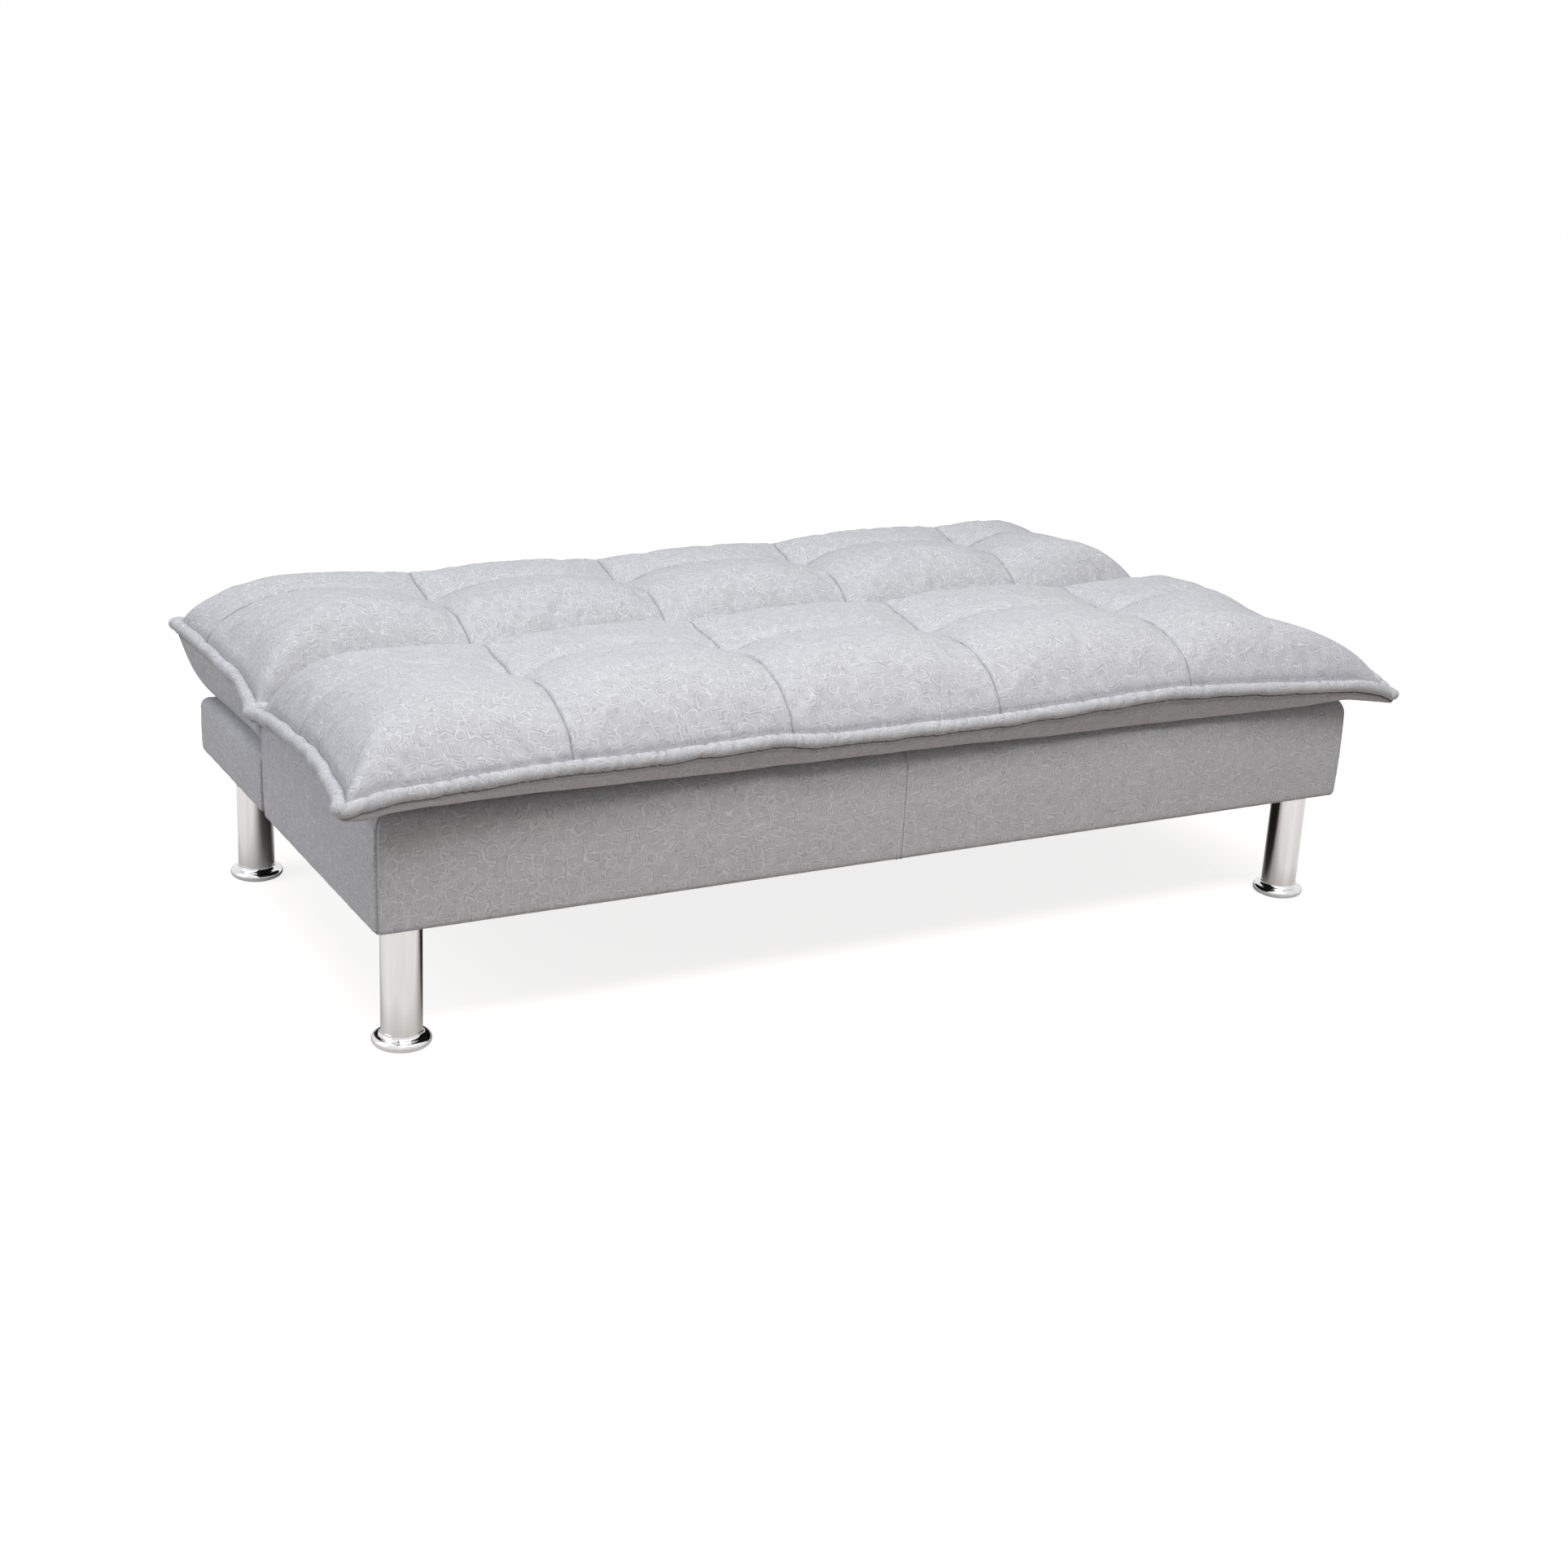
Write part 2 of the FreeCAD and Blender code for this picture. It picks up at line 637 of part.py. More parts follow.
def cross_tube():
    """Square tube that ties the two outriggers at the rear legs."""
    inner = leg_x - outrigger_width / 2
    size = outrigger_height
    y0 = rear_leg_y - size / 2
    tube = block(-inner, inner, y0, y0 + size, outrigger_bottom, outrigger_top)
    tube = rounded(tube, edges_along(tube, Vector(1, 0, 0)), outrigger_corner)
    t = outrigger_wall
    inside = block(-inner - 1, inner + 1, y0 + t, y0 + size - t, outrigger_bottom + t, outrigger_top - t)
    inside = rounded(inside, edges_along(inside, Vector(1, 0, 0)), outrigger_corner - t)
    return tube.cut(inside)


def buffer():
    """Rubber stop pressed into the outrigger; the back lies on it when the bed is flat."""
    pad = upright(buffer_radius, leg_x, buffer_y, outrigger_top, back_bottom - rest_clearance)
    stem = upright(stud_radius, leg_x, buffer_y, outrigger_top - outrigger_wall - 3, outrigger_top)
    return joined([pad, stem])


def block_room_for(shape):
    box = shape.BoundBox
    return block(box.XMin, box.XMax, box.YMin, box.YMax, box.ZMin, box.ZMax)


def mounting_blocks():
    inner = skin + side_rail_thickness
    front = block(rail_inner - block_width, rail_inner, seat_front + inner,
                  seat_front + inner + front_block_length, seat_bottom, block_top)
    rear = block(rail_inner - block_width, rail_inner, seat_rear - inner - rear_block_length,
                 seat_rear - inner, seat_bottom, block_top)
    stud_hole = upright(stud_radius + hole_clearance, leg_x, front_leg_y, seat_bottom, block_top)
    nut_low = block_top - tee_barrel_length
    nut_hole = upright(tee_barrel_radius, leg_x, front_leg_y, nut_low, block_top)
    front = front.cut([stud_hole, nut_hole])
    for y in outrigger_bolt_places():
        rear = rear.cut([upright(stud_radius + hole_clearance, leg_x, y, seat_bottom, block_top),
                         upright(tee_barrel_radius, leg_x, y, nut_low, block_top)])
    return front, rear


# ---- cushions ----
# Each cushion is a quilted top and an underside that share one sewn edge. Both are smooth surfaces over
# a net of points. Places are counted in pillows: u across, v from the joint out to the free long edge.
def graded(pillows):
    """Places across a quilted side, close together at every seam and at both ends."""
    places = [0.0]
    for pillow in range(pillows):
        for step in range(1, net_steps + 1):
            places.append(pillow + (1 - math.cos(math.pi * step / net_steps)) / 2)
    return places


def between(stops, place):
    index = min(int(place), len(stops) - 2)
    return stops[index] + (place - index) * (stops[index + 1] - stops[index])


def swell(distance, run, power):
    """0 at a sewn edge and 1 at full height, rising like a stuffed edge."""
    return math.sin(math.pi / 2 * min(max(distance / run, 0.0), 1.0)) ** power


def fullness(edges):
    """0 on a sewn edge and 1 at full height. Each edge gives its distance, its run and its power."""
    hollow = sum((1 - swell(*edge)) ** corner_power for edge in edges)
    return 1 - min(hollow, 1.0) ** (1 / corner_power)


def quilt_dips(sizes, x, reach, seams, long_seam):
    """How far the seams and tufts draw the top down."""
    from_long = reach - long_seam
    from_cross = min(abs(x - seam) for seam in seams)
    behind = max(sizes["side"] * from_long, 0.0)
    kept = 1 - cross_fade * swell(behind, cross_fade_run, 1.0)
    dips = seam_dip * math.exp(-abs(from_long) / seam_width)
    dips += cross_dip * kept * math.exp(-(from_cross / cross_width) ** cross_power)
    return dips + tuft_dip * math.exp(-math.hypot(from_cross, from_long) / tuft_width)


def cushion_points(sizes, u, v):
    """Point of the top and point of the underside, one above the other."""
    share = v / 2
    half = joint_corner_half + (sizes["half"] - joint_corner_half) * share
    half -= side_pull_in * math.sin(math.pi * share) ** 0.5
    middle = sizes["seam_offset"] - sizes["lean"] * share
    seams = [middle + (i - (cross_seam_count - 1) / 2) * seam_pitch for i in range(cross_seam_count)]
    x = between([-half] + seams + [half], u)
    arch = abs(math.sin(math.pi * (x + half) / (2 * half)))
    joint_z = joint_edge + joint_edge_arch * arch
    joint = cushion_gap + (joint_z - pivot_z) / valley_slope
    outer = sizes["reach"] - sizes["bow"] * arch ** 0.5
    turn = swell(max(0.0, abs(x) - joint_corner_half + seam_bend_run), seam_bend_run, 2.0)
    long_seam = sizes["seam"] + sizes["side"] * seam_bend * turn
    reach = between([joint, long_seam, outer], v)
    edge_z = joint_z + (sizes["edge"] + sizes["arch"] * arch - joint_z) * share

    # the top leaves the joint no steeper than the valley that the raised back needs
    joint_run = (bed_height + crown_rise / 2 - joint_edge) * math.pi / 2 / valley_slope
    rise = fullness([
        (reach - joint, joint_run, 1.0), (outer - reach, sizes["edge_run"], edge_power),
        (half + x, side_edge_run, edge_power), (half - x, side_edge_run, edge_power),
    ])
    crown_z = bed_height + crown_rise * x / (2 * half) - front_fall * max(0.0, reach - long_seam)
    crown_z -= sizes["fall"] * max(0.0, long_seam - reach)
    top_z = edge_z + (crown_z - edge_z - quilt_dips(sizes, x, reach, seams, long_seam)) * rise

    lie = swell(reach - joint, joint_under_run, 1.0) * swell(outer - reach, sizes["under_run"], edge_power)
    lie *= swell(half + x, side_under_run, edge_power) * swell(half - x, side_under_run, edge_power)
    under_z = edge_z + (sizes["bottom"] - edge_z) * lie
    y = pivot_y + sizes["side"] * reach
    return Vector(x, y, top_z), Vector(x, y, under_z)


def net_surface(rows):
    """Smooth surface led by a net of points; its border depends only on the border of the net."""
    degree = 3
    knots = []
    repeats = []
    for count in (len(rows), len(rows[0])):
        knots.append([float(i) for i in range(count - degree + 1)])
        repeats.append([degree + 1] + [1] * (count - degree - 1) + [degree + 1])
    surface = Part.BSplineSurface()
    surface.buildFromPolesMultsKnots(rows, repeats[0], repeats[1], knots[0], knots[1],
                                     False, False, degree, degree)
    return surface.toShape()


def cushion(sizes):
    top_rows = []
    under_rows = []
    for v in graded(2):
        pairs = [cushion_points(sizes, u, v) for u in graded(cross_seam_count + 1)]
        top_rows.append([top for top, under in pairs])
        under_rows.append([under for top, under in pairs])
    shell = Part.makeShell([net_surface(top_rows), net_surface(under_rows)])
    shell.sewShape()
    body = Part.makeSolid(shell)
    if body.Volume < 0:
        body.reverse()
    return body


def seat_cushion():
    body = cushion({
        "side": -1, "reach": pivot_y - seat_front + front_overhang, "half": front_corner_half,
        "bow": front_pull_in, "edge": front_edge, "arch": front_edge_arch, "edge_run": front_edge_run,
        "seam": seat_seam_reach, "seam_offset": seat_seam_offset, "lean": seat_seam_lean,
        "fall": joint_fall, "bottom": seat_top, "under_run": seat_under_run,
    })
    return body.cut(hinge_swing(slot_clearance))


def back_cushion():
    body = cushion({
        "side": 1, "reach": back_rear + rear_overhang - pivot_y, "half": rear_corner_half,
        "bow": rear_pull_in, "edge": rear_edge, "arch": rear_edge_arch, "edge_run": rear_edge_run,
        "seam": back_seam_reach, "seam_offset": back_seam_offset, "lean": 0.0,
        "fall": 0.0, "bottom": back_top, "under_run": back_under_run,
    })
    slot_rear = back_foot_y + foot_end_radius + slot_clearance
    slot_top = pivot_z + ratchet_radius + slot_clearance
    return body.cut(hinge_slot(pivot_y, slot_rear, back_top - 1, slot_top))


# ---- the whole sofa bed, node by node ----
def seat_nodes():
    low, high = frame_levels(seat_bottom, seat_top, seat_top_foam)
    y0, y1 = seat_front, seat_rear
    front, rear, left, right = frame_rails(y0, y1, low, high)
    slot_low = pivot_z - ratchet_radius * 2
    slot_front = seat_foot_y + foot_end_radius - slot_clearance
    slots = hinge_slot(slot_front, y1 + 1, slot_low, seat_top + 1)
    front_block, rear_block = mounting_blocks()
    blocks = both_sides(front_block) + both_sides(rear_block)
    block_room = both_sides(block_room_for(front_block)) + both_sides(block_room_for(rear_block))
    nuts = both_sides(tee_nut(leg_x, front_leg_y, block_top))
    bolts = []
    for y in outrigger_bolt_places():
        nuts += both_sides(tee_nut(leg_x, y, block_top))
        bolts += both_sides(outrigger_bolt(y))
    bolt_end = frame_half - cover_thickness
    hinge_bolts = [hinge_bolt(y, z, cheek_out_x0, bolt_end) for y, z in seat_bolt_places()]
    bolt_holes = [pin_along_x(hinge_bolt_radius, y, z, rail_inner, bolt_end) for y, z in seat_bolt_places()]
    right = right.cut(bolt_holes)
    return {
        "seat_front_rail": front,
        "seat_rear_rail": rear.cut(slots),
        "seat_left_rail": mirrored(right),
        "seat_right_rail": right,
        "seat_cross_rails": cross_rails(y0, y1, low, high),
        "seat_mounting_blocks": group(blocks),
        "seat_webbing": webbing(y0, y1, high),
        "seat_foam": box_foam(y0, y1, seat_bottom, seat_top, seat_top_radius, seat_top_foam).cut(slots),
        "seat_cover": box_cover(y0, y1, seat_bottom, seat_top, seat_top_radius).cut(slots),
        "seat_dust_cloth": dust_cloth(y0, y1, seat_bottom).cut(block_room),
        "seat_cushion": seat_cushion(),
        "tee_nuts": group(nuts),
        "outrigger_bolts": group(bolts),
        "seat_hinge_bolts": group(sum([both_sides(bolt) for bolt in hinge_bolts], [])),
    }


def back_nodes():
    low, high = frame_levels(back_bottom, back_top, back_top_foam)
    y0, y1 = back_front, back_rear
    front, rear, left, right = frame_rails(y0, y1, low, high)
    pocket = both_sides(ratchet_arm(slot_clearance)) + hinge_swing(slot_clearance)
    bolt_end = frame_half - cover_thickness
    bolts = [hinge_bolt(y, z, ratchet_x0, bolt_end) for y, z in back_bolt_places()]
    bolt_holes = [pin_along_x(hinge_bolt_radius, y, z, rail_inner, bolt_end) for y, z in back_bolt_places()]
    right = right.cut(bolt_holes)
    near, far = back_bolt_places()
    packer = capsule(near[0], near[1], foot_end_radius, far[0], far[1], foot_end_radius,
                     ratchet_x1, rail_inner)
    for y, z in back_bolt_places():
        packer = packer.cut(pin_along_x(hinge_bolt_radius + hole_clearance, y, z, ratchet_x1, rail_inner))
    return {
        "back_front_rail": front.cut(pocket),
        "back_rear_rail": rear,
        "back_left_rail": mirrored(right),
        "back_right_rail": right,
        "back_cross_rails": cross_rails(y0, y1, low, high),
        "back_webbing": webbing(y0, y1, high).cut(pocket),
        "back_foam": box_foam(y0, y1, back_bottom, back_top, back_top_radius, back_top_foam).cut(pocket),
        "back_cover": box_cover(y0, y1, back_bottom, back_top, back_top_radius).cut(pocket),
        "back_dust_cloth": dust_cloth(y0, y1, back_bottom),
        "back_cushion": back_cushion(),
        "arm_packers": group(both_sides(packer)),
        "back_hinge_bolts": group(sum([both_sides(bolt) for bolt in bolts], [])),
    }


def hinge_nodes():
    parts = {
        "bracket": seat_bracket(),
        "inner_cheek": inner_cheek(),
        "ratchet_arm": ratchet_arm(),
        "pawl": pawl(),
        "pivot_pin": headed_pin(pivot_pin_radius, 9.0, pivot_y, pivot_z),
        "pawl_pin": headed_pin(pawl_pin_radius, 6.5, pawl_y, pawl_z),
        "cheek_post": cheek_post(),
        "pawl_spring": pawl_spring(),
    }
    nodes = {}
    for name, shape in parts.items():
        nodes["left_" + name] = mirrored(shape)
        nodes["right_" + name] = shape
    return nodes


def leg_nodes():
    nodes = {}
    pads = []
    caps = []
    rear_stud = outrigger_wall + 6.5
    for row, y, top, stud in (("front", front_leg_y, seat_bottom, block_height),
                              ("rear", rear_leg_y, outrigger_bottom, rear_stud)):
        for side, x in (("left", -leg_x), ("right", leg_x)):
            nodes[row + "_" + side + "_leg"] = leg_tube(x, y, top)
            nodes[row + "_" + side + "_foot"] = leg_foot(x, y)
            pads.append(floor_pad(x, y))
            caps.append(leg_cap(x, y, top, stud))
    nodes["floor_pads"] = group(pads)
    nodes["leg_caps"] = group(caps)
    nodes["left_outrigger"] = mirrored(outrigger())
    nodes["right_outrigger"] = outrigger()
    nodes["rear_cross_tube"] = cross_tube()
    nodes["rear_leg_nuts"] = group(both_sides(rear_leg_nut()))
    nodes["back_buffers"] = group(both_sides(buffer()))
    return nodes


os.makedirs("parts", exist_ok=True)
nodes = {}
nodes.update(seat_nodes())
nodes.update(back_nodes())
nodes.update(hinge_nodes())
nodes.update(leg_nodes())
for name, shape in nodes.items():
    shape.exportStep("parts/" + name + ".step")
    box = shape.BoundBox
    print(name, len(shape.Solids), "valid" if shape.isValid() else "NOT VALID",
          [round(size, 1) for size in (box.XMin, box.XMax, box.YMin, box.YMax, box.ZMin, box.ZMax)])
print("nodes", len(nodes))
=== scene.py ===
import json
import math

import bpy
import numpy as np
from mathutils import Matrix, Vector


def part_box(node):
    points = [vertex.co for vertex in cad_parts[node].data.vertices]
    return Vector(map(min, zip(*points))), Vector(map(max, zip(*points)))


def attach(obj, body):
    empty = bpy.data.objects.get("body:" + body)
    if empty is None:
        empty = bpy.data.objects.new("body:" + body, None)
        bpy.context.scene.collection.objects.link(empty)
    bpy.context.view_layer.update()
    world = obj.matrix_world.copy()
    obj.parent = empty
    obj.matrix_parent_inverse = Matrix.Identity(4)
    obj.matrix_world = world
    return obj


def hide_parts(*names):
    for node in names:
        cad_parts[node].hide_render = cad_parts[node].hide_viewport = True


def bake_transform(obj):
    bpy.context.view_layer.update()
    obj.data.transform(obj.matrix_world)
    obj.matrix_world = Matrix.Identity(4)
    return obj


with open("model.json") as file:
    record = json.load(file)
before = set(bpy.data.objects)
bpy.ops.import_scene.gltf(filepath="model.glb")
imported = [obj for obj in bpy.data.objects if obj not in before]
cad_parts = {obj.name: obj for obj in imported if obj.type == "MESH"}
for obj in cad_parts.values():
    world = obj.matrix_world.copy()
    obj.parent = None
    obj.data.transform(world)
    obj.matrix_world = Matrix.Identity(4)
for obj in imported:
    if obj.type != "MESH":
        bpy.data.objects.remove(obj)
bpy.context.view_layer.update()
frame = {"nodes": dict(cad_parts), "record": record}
bpy.ops.object.select_all(action="DESELECT")
print("frame loaded,", len(frame["nodes"]), "nodes")

mm = 0.001  # lengths below are in millimetres, unless a note says metres
quarter = math.pi / 2
up = np.array([0.0, 0.0, 1.0])


def linearColour(hexValue):  # sRGB hex to the linear numbers a shader wants
    parts = [int(hexValue[i:i + 2], 16) / 255 for i in (1, 3, 5)]
    return tuple(p / 12.92 if p <= 0.04045 else ((p + 0.055) / 1.055) ** 2.4 for p in parts) + (1.0,)


# a link from a node takes the node's first output
def addNode(tree, kind, settings=None, links=None):
    node = tree.nodes.new("ShaderNode" + kind)
    for key, value in (settings or {}).items():
        if isinstance(key, str) and hasattr(node, key):
            setattr(node, key, value)
        else:
            node.inputs[key].default_value = value
    for key, source in (links or {}).items():
        tree.links.new(getattr(source, "outputs", [source])[0], node.inputs[key])
    return node


def newMaterial(name, settings):
    material = bpy.data.materials.new(name)
    material.use_nodes = True
    tree = material.node_tree
    tree.nodes.clear()
    shader = addNode(tree, "BsdfPrincipled", settings)
    addNode(tree, "OutputMaterial", None, {"Surface": shader})
    return material, tree, shader


# polyester linen-look cloth, woven from slubby two-tone yarn: pale cool grey with short lighter slubs
# that curl and run straight by turns, and a matt, slightly fuzzy surface
linenSet = {
    "ground": "#cdcdd2", "shade": "#b9b9be",
    "slub": "#ececf0", "slubStrength": 0.5,
    # painted shade: the weave's hollows beside the slubs are darker in colour, as well as sunk by the bump
    "shadedHollow": "#98989c", "shadedHollowStrength": 0.5,
    "seam": "#5e5e62", "seamStrength": 0.75,  # painted shade: drawn in by the seamShade attribute in seam creases, pinches, folds and slits, where shade falls
    "curl": 0.021,  # size of one curl of slubs, metres
    "squareCurls": 1.2,  # how much smaller the square curls are
    "slubSpacing": 0.0058,  # between neighbouring slubs, metres
    "wobbleScale": 55.0, "wobble": 0.017,  # pushes the curls out of round
    # the share of the spacing at which a slub and a hollow set in, and the bare heart of a curl
    "crest": (0.35, 0.43), "trough": (0.14, 0.05), "heart": (0.16, 0.24),
    # noise scale and detail, and the two levels it is cut between
    "swap": (21.0, 0.0, 0.43, 0.46),
    "slubBreak": (64.0, 1.0, 0.38, 0.47), "hollowBreak": (58.0, 1.0, 0.46, 0.54),
    "yarn": 0.0016,  # metres, about twice as coarse as the real yarn so that it shows
    "yarnRun": 12,  # length of a streak of yarn, in its widths
    "yarnContrast": 1.9, "cloudScale": 14.0, "cloudContrast": 0.4, "tone": -0.65,
    "slubRelief": 0.55, "yarnRelief": 0.9,
    "bump": 0.30, "bumpDistance": 0.0012,
}


def makeLinen(name, look):
    material, tree, shader = newMaterial(name, {
        "Roughness": 0.93, "Specular IOR Level": 0.22, "Sheen Weight": 0.12, "Sheen Roughness": 0.5})
    place = addNode(tree, "Attribute", {"attribute_name": "weave"}).outputs["Vector"]

    # patches of round and of square curls, and where slubs and hollows break off
    mask = {}
    for part in ("swap", "slubBreak", "hollowBreak"):
        scale, detail, low, high = look[part]
        speckle = addNode(tree, "TexNoise", {"Scale": scale, "Detail": detail}, {"Vector": place})
        mask[part] = addNode(tree, "MapRange", {"From Min": low, "From Max": high}, {"Value": speckle})

    # slubs follow the rings of round cells, and in other patches the rings of square ones, in short strokes
    wobble = addNode(tree, "TexNoise", {"Scale": look["wobbleScale"], "Detail": 1.0}, {"Vector": place})
    pushed = addNode(tree, "VectorMath", {"operation": "MULTIPLY_ADD", 1: (look["wobble"],) * 3},
                     {0: wobble.outputs["Color"], 2: place})
    cells = [addNode(tree, "TexVoronoi",
                     {"voronoi_dimensions": "2D", "distance": shape, "Scale": scale / look["curl"]},
                     {"Vector": pushed})
             for shape, scale in (("EUCLIDEAN", 1.0), ("CHEBYCHEV", look["squareCurls"]))]
    distance = addNode(tree, "Mix", {"data_type": "FLOAT"}, {0: mask["swap"], 2: cells[0], 3: cells[1]})
    rings = addNode(tree, "Math", {"operation": "MULTIPLY", 1: look["curl"] / look["slubSpacing"]},
                    {0: distance})
    wave = addNode(tree, "Math", {"operation": "PINGPONG", 1: 0.5}, {0: rings})
    for part, source in (("crest", wave), ("trough", wave), ("heart", distance)):
        low, high = look[part]
        mask[part] = addNode(tree, "MapRange", {"From Min": low, "From Max": high}, {"Value": source})
    stroke = addNode(tree, "Math", {"operation": "MULTIPLY"}, {0: mask["crest"], 1: mask["slubBreak"]})
    slub = addNode(tree, "Math", {"operation": "MULTIPLY"}, {0: stroke, 1: mask["heart"]})
    # painted shade in the hollows, beside the raised slubs
    shadedHollow = addNode(tree, "Math", {"operation": "MULTIPLY"}, {0: mask["trough"], 1: mask["hollowBreak"]})

    # warp and weft, each yarn a long streak
    across = 1.0 / look["yarn"]
    along = across / look["yarnRun"]
    streaks = []
    for scale in ((along, across, 1), (across, along, 1)):
        drawn = addNode(tree, "Mapping", {"Scale": scale}, {"Vector": place})
        streaks.append(addNode(tree, "TexNoise", {"Scale": 1.0, "Detail": 1.0}, {"Vector": drawn}))
    crossed = addNode(tree, "Math", {"operation": "ADD"}, {0: streaks[0], 1: streaks[1]})
    yarn = addNode(tree, "Math", {"operation": "MULTIPLY", 1: 0.5}, {0: crossed})
    cloud = addNode(tree, "TexNoise", {"Scale": look["cloudScale"], "Detail": 3.0}, {"Vector": place})
    tone = addNode(tree, "Math", {"operation": "MULTIPLY_ADD", 1: look["yarnContrast"], 2: look["tone"]},
                   {0: yarn})
    fraction = addNode(tree, "Math",
                       {"operation": "MULTIPLY_ADD", "use_clamp": True, 1: look["cloudContrast"]},
                       {0: cloud, 2: tone})

    colour = addNode(tree, "Mix", {"data_type": "RGBA", 6: linearColour(look["shade"]),
                                             7: linearColour(look["ground"])}, {0: fraction}).outputs[2]
    # painted shade from the seamShade attribute: the colour goes towards the dark seam grey in creases,
    # pinches, folds and slits
    seam = addNode(tree, "Attribute", {"attribute_name": "seamShade"}).outputs["Fac"]
    for part, where in (("shadedHollow", shadedHollow), ("slub", slub), ("seam", seam)):
        amount = addNode(tree, "Math", {"operation": "MULTIPLY", 1: look[part + "Strength"]}, {0: where})
        colour = addNode(tree, "Mix", {"data_type": "RGBA", 7: linearColour(look[part])},
                         {0: amount, 6: colour}).outputs[2]
    tree.links.new(colour, shader.inputs["Base Color"])

    raised = addNode(tree, "Math", {"operation": "SUBTRACT"}, {0: slub, 1: shadedHollow})
    woven = addNode(tree, "Math", {"operation": "MULTIPLY", 1: look["yarnRelief"]}, {0: yarn})
    relief = addNode(tree, "Math", {"operation": "MULTIPLY_ADD", 1: look["slubRelief"]},
                     {0: raised, 2: woven})
    bump = addNode(tree, "Bump", {"Strength": look["bump"], "Distance": look["bumpDistance"]},
                   {"Height": relief})
    tree.links.new(bump.outputs[0], shader.inputs["Normal"])
    return material


# a two-colour finish: one stretched noise for colour, roughness and relief
def makePlain(name, settings, hexA, hexB, scale, stretch=(1, 1, 1), bump=0.0, bumpDistance=0.0005,
              roughRange=None):
    material, tree, shader = newMaterial(name, settings)
    place = addNode(tree, "TexCoord").outputs["Object"]
    mapping = addNode(tree, "Mapping", {"Scale": stretch}, {"Vector": place})
    grain = addNode(tree, "TexNoise", {"Scale": scale, "Detail": 4.0}, {"Vector": mapping})
    colour = addNode(tree, "Mix", {"data_type": "RGBA", 6: linearColour(hexA), 7: linearColour(hexB)},
                     {0: grain})
    tree.links.new(colour.outputs[2], shader.inputs["Base Color"])
    if roughRange:
        rough = addNode(tree, "MapRange", {"To Min": roughRange[0], "To Max": roughRange[1]},
                        {"Value": grain})
        tree.links.new(rough.outputs[0], shader.inputs["Roughness"])
    if bump:
        relief = addNode(tree, "Bump", {"Strength": bump, "Distance": bumpDistance}, {"Height": grain})
        tree.links.new(relief.outputs[0], shader.inputs["Normal"])
    return material


# the scale is in noise cells to a metre, so 700 gives marks of about 1.4 mm
finishes = {
    "grey_linen": makeLinen("slubLinenWeave", linenSet),
    # spunbond polypropylene: matt black felt-like sheet with a fine pressed dimple
    "dust_cloth": makePlain("spunbondDustCloth", {"Roughness": 0.95}, "#1b1b1d", "#2b2b2e", 700, bump=0.4),
    # polyurethane foam, cut: open cells that give a pale, matt, pitted face, drawn coarse at 2.4 mm
    "foam": makePlain("cutFoam", {"Roughness": 0.97}, "#d9cfae", "#efe7cb", 420, bump=0.6,
                      bumpDistance=0.001),
    # woven elastic webbing: dense ribs of 1.1 mm across the strap
    "webbing": makePlain("elasticWebbing", {"Roughness": 0.85}, "#232326", "#3c3c40", 1.0,
                         (260, 900, 260), 0.5),
    # planed pine: pale wood with long darker grain, 11 mm wide
    "pine": makePlain("planedPine", {"Roughness": 0.6}, "#b98f5c", "#e2c391", 1.0, (5, 90, 90), 0.15),
    # chrome plate over polished steel tube: mirror, with the faintest polishing haze
    "chrome": makePlain("chromePlate", {"Metallic": 1.0, "Roughness": 0.05}, "#c9c9cb", "#f4f4f5", 1.0,
                        (70, 70, 3), roughRange=(0.03, 0.08)),
    # moulded rubber: black, dull, slightly mottled at 6 mm
    "rubber": makePlain("mouldedRubber", {"Roughness": 0.8}, "#141414", "#242424", 160, bump=0.2,
                        roughRange=(0.7, 0.9)),
    # powder coat on steel tube: black with an orange-peel skin of 1.1 mm
    "black_steel": makePlain("powderCoat", {"Roughness": 0.45}, "#101011", "#1a1a1c", 900, bump=0.25,
                             bumpDistance=0.0002, roughRange=(0.38, 0.55)),
    # bright zinc plate on pressed steel: grey metal with soft cloudy streaks
    "zinc_steel": makePlain("brightZincPlate", {"Metallic": 1.0, "Roughness": 0.35}, "#9fa2a6", "#c9cbce", 60,
                            bump=0.08, roughRange=(0.25, 0.48)),
}
# polyester thread: smooth, slightly lustrous, with the 0.4 mm twist of its plies
sewingThread = makePlain("polyesterThread", {"Roughness": 0.6}, "#dedee1", "#f0f0f2", 2500, bump=0.2)

for row in frame["record"]["subparts"]:
    node = frame["nodes"][row["node"]]
    node.data.materials.clear()
    node.data.materials.append(finishes[row["material_slot"]])
print("materials made")


# a smooth curve through a few values, flat past its ends
def curveThrough(places, values, at):
    places, values = np.asarray(places, float), np.asarray(values, float)
    slopes = np.gradient(values, places)
    at = np.clip(at, places[0], places[-1])
    i = np.clip(np.searchsorted(places, at, side="right") - 1, 0, len(places) - 2)
    span = places[i + 1] - places[i]
    f = (at - places[i]) / span
    return ((2 * f ** 3 - 3 * f ** 2 + 1) * values[i] + (f ** 3 - 2 * f ** 2 + f) * span * slopes[i]
            + (3 * f ** 2 - 2 * f ** 3) * values[i + 1] + (f ** 3 - f ** 2) * span * slopes[i + 1])


# sines with a drifting phase: gathers and waves that never quite repeat
def unevenWave(p, lengths, phase, drifting=1.7, driftLength=5.3):
    total = np.zeros_like(np.asarray(p, float))
    for k, length in enumerate(lengths):
        drift = drifting * np.sin(2 * np.pi * p / (length * driftLength) + phase * (k + 1.3))
        total += np.sin(2 * np.pi * p / length + drift + phase * (2.1 * k + 1))
    return total / len(lengths)


